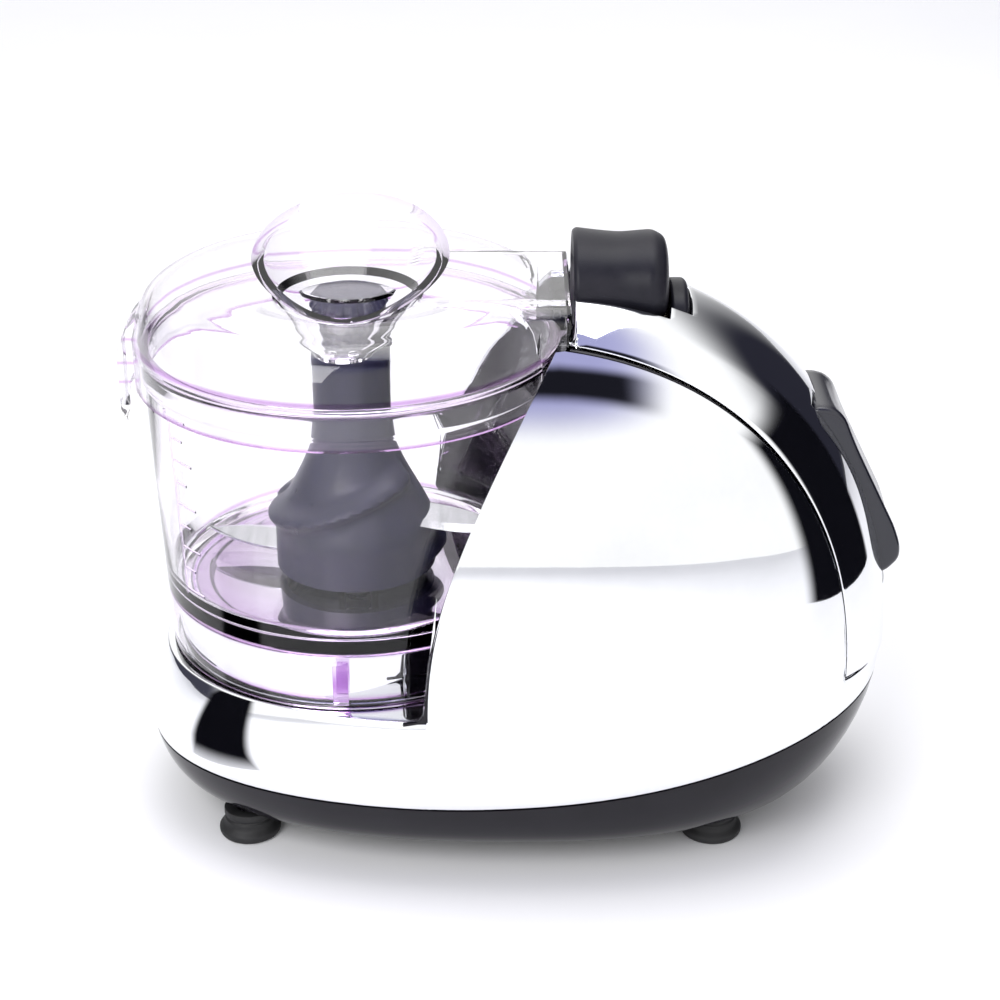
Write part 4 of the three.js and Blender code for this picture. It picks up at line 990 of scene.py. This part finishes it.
def lid_place(i, j):
    angle = 2 * math.pi * j / LID_TURNS
    c, s = math.cos(angle), math.sin(angle)
    edge = lid_edge(angle)
    if i <= WALL_ROWS:
        x, y = edge * c, edge * s
        top = max(SHOULDER, bridge_height(x, y) - 1.0)
        return x, y, LID_FOOT + (top - LID_FOOT) * i / WALL_ROWS
    share = (i - WALL_ROWS) / DOME_ROWS
    r = edge * (1 - share ** 1.25)
    if i == WALL_ROWS + 1:
        r = edge - 0.5
    return r * c, r * s, lid_height(r * c, r * s)


lid = sheet("clear_lid", WALL_ROWS + DOME_ROWS, LID_TURNS, lid_place)
knit(lid)
change(lid, "SOLIDIFY", thickness=LID_WALL * MM, offset=-1)

FUNNEL_RIM = (34.5, 27.5)
FUNNEL_CENTRE = (5.2, LID_TOP + 8)
FUNNEL_SHIFT = 1.2
FUNNEL_TAPER = 0.22
FUNNEL_FOOT = (28.0, LID_TOP - 13.6, 7.2)
FUNNEL_TILT = math.tan(0.22)
HUB_ROOM_R, HUB_ROOM_TOP = 14.9, 165.5
CONE_ROWS, CONE_TURNS = 24, 128


def cone(name, inset, over, drop, rim_bead=0.0):
    """A solid slanting cone from the oval rim down to the funnel's small foot."""
    foot_x, foot_z, foot_r = FUNNEL_FOOT

    def place(i, j):
        angle = 2 * math.pi * j / CONE_TURNS
        c, s = math.cos(angle), math.sin(angle)
        if i in (0, CONE_ROWS + 2):
            t, share = (0, 0) if i == 0 else (1, 0)
        else:
            t, share = (i - 1) / CONE_ROWS, 1
        swell = t ** 0.85
        bead = rim_bead * math.exp(-((1 - t) / 0.035) ** 2) if rim_bead else 0
        reach_x = (foot_r + (FUNNEL_RIM[0] - foot_r) * swell - inset + bead) * share
        narrowing = 1 - FUNNEL_TAPER * max(0.0, c) ** 1.5 * t
        reach_y = ((foot_r + (FUNNEL_RIM[1] - foot_r) * swell) * narrowing - inset + bead) * share
        x = foot_x + (FUNNEL_CENTRE[0] - foot_x) * t + reach_x * c
        z = foot_z + drop + (FUNNEL_CENTRE[1] - foot_z - drop) * t - FUNNEL_TILT * reach_x * c * t + over * t
        return x, FUNNEL_SHIFT * t + reach_y * s, z
    piece = sheet(name, CONE_ROWS + 2, CONE_TURNS, place)
    knit(piece)
    return piece


def post(name, radius, low, high, centre=(0, 0), turns=72):
    """An upright round post between two heights."""
    return turned(name, [(0, low), (radius, low), (radius, high), (0, high)], centre, turns)


def combine(piece, other, how):
    """Joins, cuts or keeps the overlap of two solids, and removes the second."""
    change(piece, "BOOLEAN", object=other, operation=how, solver="EXACT")
    bpy.data.objects.remove(other)


room = cone("room", -0.6, 0, -0.3)
combine(room, post("clear", HUB_ROOM_R - 0.3, 100, HUB_ROOM_TOP - 0.3), "DIFFERENCE")
combine(lid, room, "DIFFERENCE")

TONGUE_HALF = 12.0
TONGUE_CELLS = 12
TONGUE_TIP = -(LID_R + 4.5)
tongue_profile = rounded([
    (-62.7, LID_FOOT + 1.2), (-62.7, SHOULDER), (-61.2, SHOULDER + 4), (-59.8, SHOULDER + 7.4),
    (-65.4, SHOULDER + 2.6), (TONGUE_TIP, SHOULDER - 5), (TONGUE_TIP, LID_FOOT - 10),
    (TONGUE_TIP + 1.7, LID_FOOT - 13), (TONGUE_TIP + 3.1, LID_FOOT - 10), (-65.2, LID_FOOT - 0.6)],
    1.2, 4, loop=True)


def tongue_place(i, j):
    y, z = tongue_profile[i]
    x = TONGUE_HALF * (2 * j / TONGUE_CELLS - 1)
    pull = 0.9 * (abs(x) / TONGUE_HALF) ** 4
    away = max(0.0, min(1.0, (-63 - y) / 3))
    return x * (1 - 0.08 * away * (1 if z < LID_FOOT else 0)), y + pull * away, z


tongue = sheet("tongue", len(tongue_profile) - 1, TONGUE_CELLS, tongue_place)
fill_ends(tongue)
combine(lid, tongue, "UNION")
# The lid's painted shade: deeper violet at its foot, at its shoulder and at grazing angles.
lid_clear = clear_plastic("clear_lid", CLEAR, PAINTED_EDGE_VIOLET, [(LID_FOOT, 1.0), (SHOULDER, 0.9)])
dress(lid, lid_clear, 28)
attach(lid, "lid")
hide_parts("lid_shell")

# A ledge inside the lid rests on the bowl's rim.
ledge_z = BOWL_RIM + 0.35
ledge = turned("lid_ledge", rounded([(59.2, ledge_z), (62.2, ledge_z), (62.2, ledge_z + 1.4),
                                     (59.2, ledge_z + 1.4)], 0.3, 2, loop=True), turns=144)
dress(ledge, detail_clear, 32)
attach(ledge, "lid")

# ---- Drip funnel ----
# An oval clear cup sunk in the lid for oil or water. It slopes to a small foot with two drip
# holes, and its floor steps over the top of the hub.
funnel = cone("clear_funnel", 0, 0, 0, rim_bead=1.3)
combine(funnel, post("hub_room", HUB_ROOM_R, 100, HUB_ROOM_TOP), "DIFFERENCE")
hollow = cone("hollow", 1.7, 0.7, 1.7)
combine(hollow, post("hub_wall", HUB_ROOM_R + 1.7, 100, HUB_ROOM_TOP + 1.7), "DIFFERENCE")
combine(funnel, hollow, "DIFFERENCE")
for y in (-3.4, 3.4):
    combine(funnel, post("drip", 1.9, 140, 165, (30, y), 40), "DIFFERENCE")
rim_level = FUNNEL_CENTRE[1] + FUNNEL_TILT * FUNNEL_CENTRE[0]
# The funnel's painted shade: deeper violet along its tilted rim, lower down its wall and at grazing angles.
funnel_clear = clear_plastic("clear_funnel", CLEAR, (0.50, 0.30, 0.64),
                             [(rim_level, 1.6), (LID_TOP - 10, 1.6)], lean=(FUNNEL_TILT, 0.0, 1.0))
dress(funnel, funnel_clear, 28)
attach(funnel, "lid")
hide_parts("drip_funnel")

# ---- Handle sleeve ----
# A soft-touch sleeve, slightly waisted, is pressed on the stub behind the lid's bridge. The
# lid is lifted by it.
sleeve_low, sleeve_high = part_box("handle_sleeve")
SLEEVE_R = 14.0
SLEEVE_Z = sleeve_high.z / MM - SLEEVE_R
SLEEVE_START = (sleeve_low.y - AXIS_Y) / MM
SLEEVE_LAST = (sleeve_high.y - AXIS_Y) / MM
sleeve_profile = [
    (0, SLEEVE_START + 1.2), (SLEEVE_R - 3.4, SLEEVE_START + 0.8), (SLEEVE_R - 0.9, SLEEVE_START),
    (SLEEVE_R, SLEEVE_START + 1.2), (SLEEVE_R - 0.8, SLEEVE_START + 8), (SLEEVE_R - 1.3, SLEEVE_START + 14),
    (SLEEVE_R - 0.8, SLEEVE_START + 20), (SLEEVE_R - 0.5, SLEEVE_LAST - 4.4),
    (SLEEVE_R - 2.4, SLEEVE_LAST - 0.9), (SLEEVE_R - 5.5, SLEEVE_LAST), (0, SLEEVE_LAST)]
soft_touch = finish("soft_touch", (0.008, 0.008, 0.013), (0.016, 0.015, 0.022), (0.34, 0.46),
                    cloud_scale=70, grain_scale=3000, bump=0.12, level=0.22)
SLEEVE_WIDE = sleeve_high.x / MM / SLEEVE_R
sleeve = turned_level("grip_sleeve", rounded(sleeve_profile, 2.4, 5), (0, SLEEVE_Z), 96, SLEEVE_WIDE)
dress(sleeve, soft_touch, 40)
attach(sleeve, "lid")
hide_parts("handle_sleeve")

# ---- Release button ----
# A short dished push button behind the handle, on a square stem that runs in its guide.
button_low, button_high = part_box("release_button")
BUTTON_R = 7.6
BUTTON_Z = button_high.z / MM - BUTTON_R
BUTTON_START = (button_low.y - AXIS_Y) / MM
BUTTON_LAST = (button_high.y - AXIS_Y) / MM
button_profile = [(0, BUTTON_START), (BUTTON_R - 0.6, BUTTON_START), (BUTTON_R, BUTTON_START + 0.6),
                  (BUTTON_R, BUTTON_LAST - 1.2), (BUTTON_R - 1.2, BUTTON_LAST), (4.6, BUTTON_LAST),
                  (3.2, BUTTON_LAST - 0.7), (0, BUTTON_LAST - 0.9)]
BUTTON_WIDE = button_high.x / MM / BUTTON_R
button = turned_level("push_button", rounded(button_profile, 0.7, 4), (0, BUTTON_Z), 72, BUTTON_WIDE)


def bar(name, x, y, z, bevel=0.4):
    """A bevelled bar between these limits."""
    centre = spot((x[0] + x[1]) / 2, (y[0] + y[1]) / 2, (z[0] + z[1]) / 2)
    bpy.ops.object.select_all(action="DESELECT")
    bpy.ops.mesh.primitive_cube_add(size=1, location=centre)
    piece = bpy.context.active_object
    piece.name = name
    piece.scale = ((x[1] - x[0]) * MM, (y[1] - y[0]) * MM, (z[1] - z[0]) * MM)
    bpy.ops.object.transform_apply(location=True, rotation=True, scale=True)
    change(piece, "BEVEL", width=bevel * MM, segments=2)
    return piece


stem = bar("stem", (-2.5, 2.5), (BUTTON_START + 0.5, BUTTON_START + 4.5), (button_low.z / MM, BUTTON_Z - 5))
button = join("push_button", button, stem)
dress(button, soft_touch, 40)
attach(button, "button")
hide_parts("release_button")

# ---- Pulse paddle ----
# The long black paddle down the back is pressed towards the machine to run it. It is one
# moulding with a lip at its foot, hung on a pin near its top.
paddle_low, paddle_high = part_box("pulse_paddle")
PADDLE_HALF = (paddle_high.x - paddle_low.x) / 2 / MM
PADDLE_Y = (paddle_high.y - AXIS_Y) / MM - 27
PIVOT_Z = paddle_low.z / MM + 48.5
PIVOT_Y = PADDLE_Y - 6
paddle_points = [(-3, 7), (7, 5), (11.5, -6), (18.5, -20), (25, -33), (27, -39), (27, -43.5),
                 (22.5, -48.5), (16, -48.5), (12, -38), (6, -24), (1, -10), (-5, -4)]
paddle_loop = rounded([(PADDLE_Y + y, PIVOT_Z + z) for y, z in paddle_points], 5, 5, loop=True)
across = runs([-1, -0.985, -0.93, 0.93, 0.985, 1], [1, 2, 14, 2, 1])


def paddle_place(i, j):
    y, z = paddle_loop[i]
    share = across[j]
    edge = max(0.0, (abs(share) - 0.9) / 0.1)
    pull = 1.7 * (1 - math.sqrt(max(0.0, 1 - edge * edge)))
    before, after = paddle_loop[i - 1 if i else -2], paddle_loop[(i + 1) % len(paddle_loop)]
    if i == len(paddle_loop) - 1:
        before, after = paddle_loop[i - 1], paddle_loop[1]
    dy, dz = after[0] - before[0], after[1] - before[1]
    size = math.hypot(dy, dz) or 1.0
    dish = 0.8 * (1 - share * share) if dz < 0 and y > PADDLE_Y + 5 else 0
    return PADDLE_HALF * share, y + (dz / size) * (pull + dish), z - (dy / size) * (pull + dish)


paddle = sheet("pulse_lever", len(paddle_loop) - 1, len(across) - 1, paddle_place)
fill_ends(paddle)
KNUCKLE_R = 3.6
knuckle = bar("knuckle", (-PADDLE_HALF, PADDLE_HALF), (PIVOT_Y - KNUCKLE_R, PADDLE_Y + 1),
              (PIVOT_Z - KNUCKLE_R, PIVOT_Z + KNUCKLE_R), 2.4)
paddle = join("pulse_lever", paddle, knuckle)
paddle_black = finish("paddle_black", (0.006, 0.007, 0.014), (0.012, 0.012, 0.020), (0.16, 0.28),
                      coat=0.3, cloud_scale=50, grain_scale=2200, bump=0.05)
dress(paddle, paddle_black, 40)
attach(paddle, "paddle")
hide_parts("pulse_paddle")

# ---- Works inside ----
# The drive, switches, springs and screws keep the frame's shapes. Each gets the finish of its
# real stock: drawn steel, natural nylon, sintered bronze, rubber or black phenolic.
drawn_steel = finish("drawn_steel", (0.42, 0.43, 0.45), (0.60, 0.61, 0.63), (0.22, 0.42), metal=1.0,
                     cloud_scale=40, grain_scale=1200, bump=0.08, stretch=(1, 1, 8))
natural_nylon = finish("natural_nylon", (0.60, 0.57, 0.49), (0.74, 0.71, 0.63), (0.35, 0.5),
                       cloud_scale=50, grain_scale=1500, bump=0.08)
bronze = finish("sintered_bronze", (0.42, 0.22, 0.11), (0.60, 0.34, 0.18), (0.3, 0.5), metal=1.0,
                cloud_scale=120, grain_scale=4000, bump=0.2)
black_phenolic = finish("black_phenolic", (0.012, 0.010, 0.010), (0.026, 0.022, 0.020), (0.4, 0.55),
                        cloud_scale=80, grain_scale=2600, bump=0.1)
belt_rubber = finish("belt_rubber", (0.010, 0.010, 0.011), (0.022, 0.022, 0.024), (0.6, 0.8),
                     cloud_scale=60, grain_scale=1800, bump=0.3)
stock = {
    drawn_steel: ("chassis_plate", "motor_can", "motor_bracket", "spindle_shaft", "drive_coupling",
                  "motor_shaft", "paddle_pin", "paddle_spring", "button_spring", "switch_bracket",
                  "foot_screw_front_left", "foot_screw_front_right", "foot_screw_rear_left",
                  "foot_screw_rear_right"),
    natural_nylon: ("driven_pulley", "motor_pulley", "cooling_fan", "terminal_block",
                    "suppressor_capacitor", "paddle_yoke", "button_guide", "motor_end_cap"),
    bronze: ("lower_bush", "upper_bush"),
    black_phenolic: ("pulse_switch", "interlock_switch"),
    belt_rubber: ("spindle_seal", "drive_belt"),
}
for material, names in stock.items():
    for name in names:
        dress(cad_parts[name], material)

# ---- Studio ----
# A pale floor and a white surround, one large soft light on the camera's side and one above,
# and dark headings and black cards, out of sight, that the plating mirrors.
bpy.context.scene.view_settings.view_transform = "Standard"
world = bpy.data.worlds.new("white_studio")
bpy.context.scene.world = world
world.use_nodes = True
sky = world.node_tree
bare = sky.nodes["Background"]
bare.inputs["Color"].default_value = (1, 1, 1, 1)
bare.inputs["Strength"].default_value = 1.0
heading = node(sky, "TexCoord")


def patch(direction, low, high, either_way=False):
    """How far a heading lies towards this direction, from 0 at low to 1 at high."""
    toward = node(sky, "VectorMath", "DOT_PRODUCT")
    toward.inputs[1].default_value = direction
    size = node(sky, "Math", "ABSOLUTE")
    ramp = node(sky, "MapRange", From_Min=low, From_Max=high)
    ramp.interpolation_type = "SMOOTHSTEP"
    wire(sky,
         (heading, "Generated", toward, 0), (toward, "Value", size, 0),
         (size if either_way else toward, "Value", ramp, "Value"))
    return ramp.outputs["Result"]


around = (1.0, 1.0, 1.0)
for colour, masks in (
    ((0.36, 0.36, 0.60), [((0.40, 0, 0.92), 0.80, 0.96), ((0, 1, 0), 0.75, 0.2, True)]),
    ((0.01, 0.01, 0.015), [((-0.84, 0, 0.54), 0.20, 0.08, True), ((0.54, 0, 0.84), 0.3, 0.7),
                           ((0, 1, 0), 0.52, 0.30, True)]),
    ((0.02, 0.02, 0.03), [((-0.5, 0.86, 0), 0.55, 0.86), ((0, 0, 1), -0.2, 0.0)]),
    ((0.05, 0.05, 0.07), [((-0.3, -0.95, 0), 0.70, 0.92), ((0, 0, 1), -0.2, 0.0)]),
):
    mask = patch(*masks[0])
    for limits in masks[1:]:
        times = node(sky, "Math", "MULTIPLY")
        sky.links.new(mask, times.inputs[0])
        sky.links.new(patch(*limits), times.inputs[1])
        mask = times.outputs["Value"]
    around = blend(sky, mask, around, colour)
mirrored = node(sky, "Background", Strength=1.2)
seen = node(sky, "LightPath")
pick = node(sky, "MixShader")
sky.links.new(around, mirrored.inputs["Color"])
wire(sky,
     (seen, "Is Camera Ray", pick, "Fac"), (mirrored, "Background", pick, 1),
     (bare, "Background", pick, 2), (pick, "Shader", sky.nodes["World Output"], "Surface"))

bpy.ops.object.select_all(action="DESELECT")
bpy.ops.mesh.primitive_grid_add(x_subdivisions=8, y_subdivisions=8, size=6, location=(0, 0, -0.0002))
floor = bpy.context.active_object
floor.name = "studio_floor"
dress(floor, finish("pale_floor", (0.86, 0.86, 0.87), (0.90, 0.90, 0.91), (0.5, 0.6), cloud_scale=2,
                    grain_scale=300, bump=0.01))


def lamp(name, place, aim, size, power):
    """A soft rectangular light at place that points at aim."""
    bpy.ops.object.light_add(type="AREA", location=place)
    light = bpy.context.active_object
    light.name = name
    light.data.shape = "RECTANGLE"
    light.data.size, light.data.size_y = size
    light.data.energy = power
    light.rotation_euler = (Vector(aim) - Vector(place)).to_track_quat("-Z", "Y").to_euler()


lamp("key", (0.9, -0.5, 0.9), (0, 0, 0.08), (0.7, 0.7), 9)
lamp("top", (-0.2, 0.1, 1.4), (0, 0, 0.1), (0.9, 0.9), 8)

black_card = bpy.data.materials.new("black_card")
black_card.use_nodes = True
cloth = black_card.node_tree
card_shader = cloth.nodes["Principled BSDF"]
card_shader.inputs["Base Color"].default_value = (0.004, 0.004, 0.006, 1)
card_shader.inputs["Specular IOR Level"].default_value = 0.0
across_card = node(cloth, "TexCoord")
from_middle = node(cloth, "VectorMath", "SUBTRACT")
from_middle.inputs[1].default_value = (0.5, 0.5, 0)
edges = node(cloth, "SeparateXYZ")
sideways = node(cloth, "Math", "ABSOLUTE")
upright = node(cloth, "Math", "ABSOLUTE")
furthest = node(cloth, "Math", "MAXIMUM")
feather = node(cloth, "MapRange", From_Min=0.5, From_Max=0.34)
feather.interpolation_type = "SMOOTHSTEP"
wire(cloth,
     (across_card, "UV", from_middle, 0), (from_middle, "Vector", edges, "Vector"),
     (edges, "X", sideways, 0), (edges, "Y", upright, 0), (sideways, "Value", furthest, 0),
     (upright, "Value", furthest, 1), (furthest, "Value", feather, "Value"),
     (feather, "Result", card_shader, "Alpha"))


def card(name, place, aim, size):
    """A flat black card that faces aim, seen only in reflections."""
    bpy.ops.object.select_all(action="DESELECT")
    bpy.ops.mesh.primitive_grid_add(x_subdivisions=2, y_subdivisions=2, size=1)
    made = bpy.context.active_object
    made.name = name
    turn = (Vector(aim) - Vector(place)).to_track_quat("Z", "Y").to_matrix()
    for corner in made.data.vertices:
        corner.co = Vector(place) + turn @ Vector((corner.co.x * size[0], corner.co.y * size[1], 0))
    dress(made, black_card)
    made.visible_camera = False
    made.visible_shadow = False
    made.visible_diffuse = False
    made.visible_transmission = False


card("black_flag_front", (0.082, -0.172, 0.055), (0.034, -0.075, 0.150), (0.06, 0.17))
card("black_flag_rear", (0.02, 0.40, 0.12), (0, 0.05, 0.08), (0.34, 0.46))
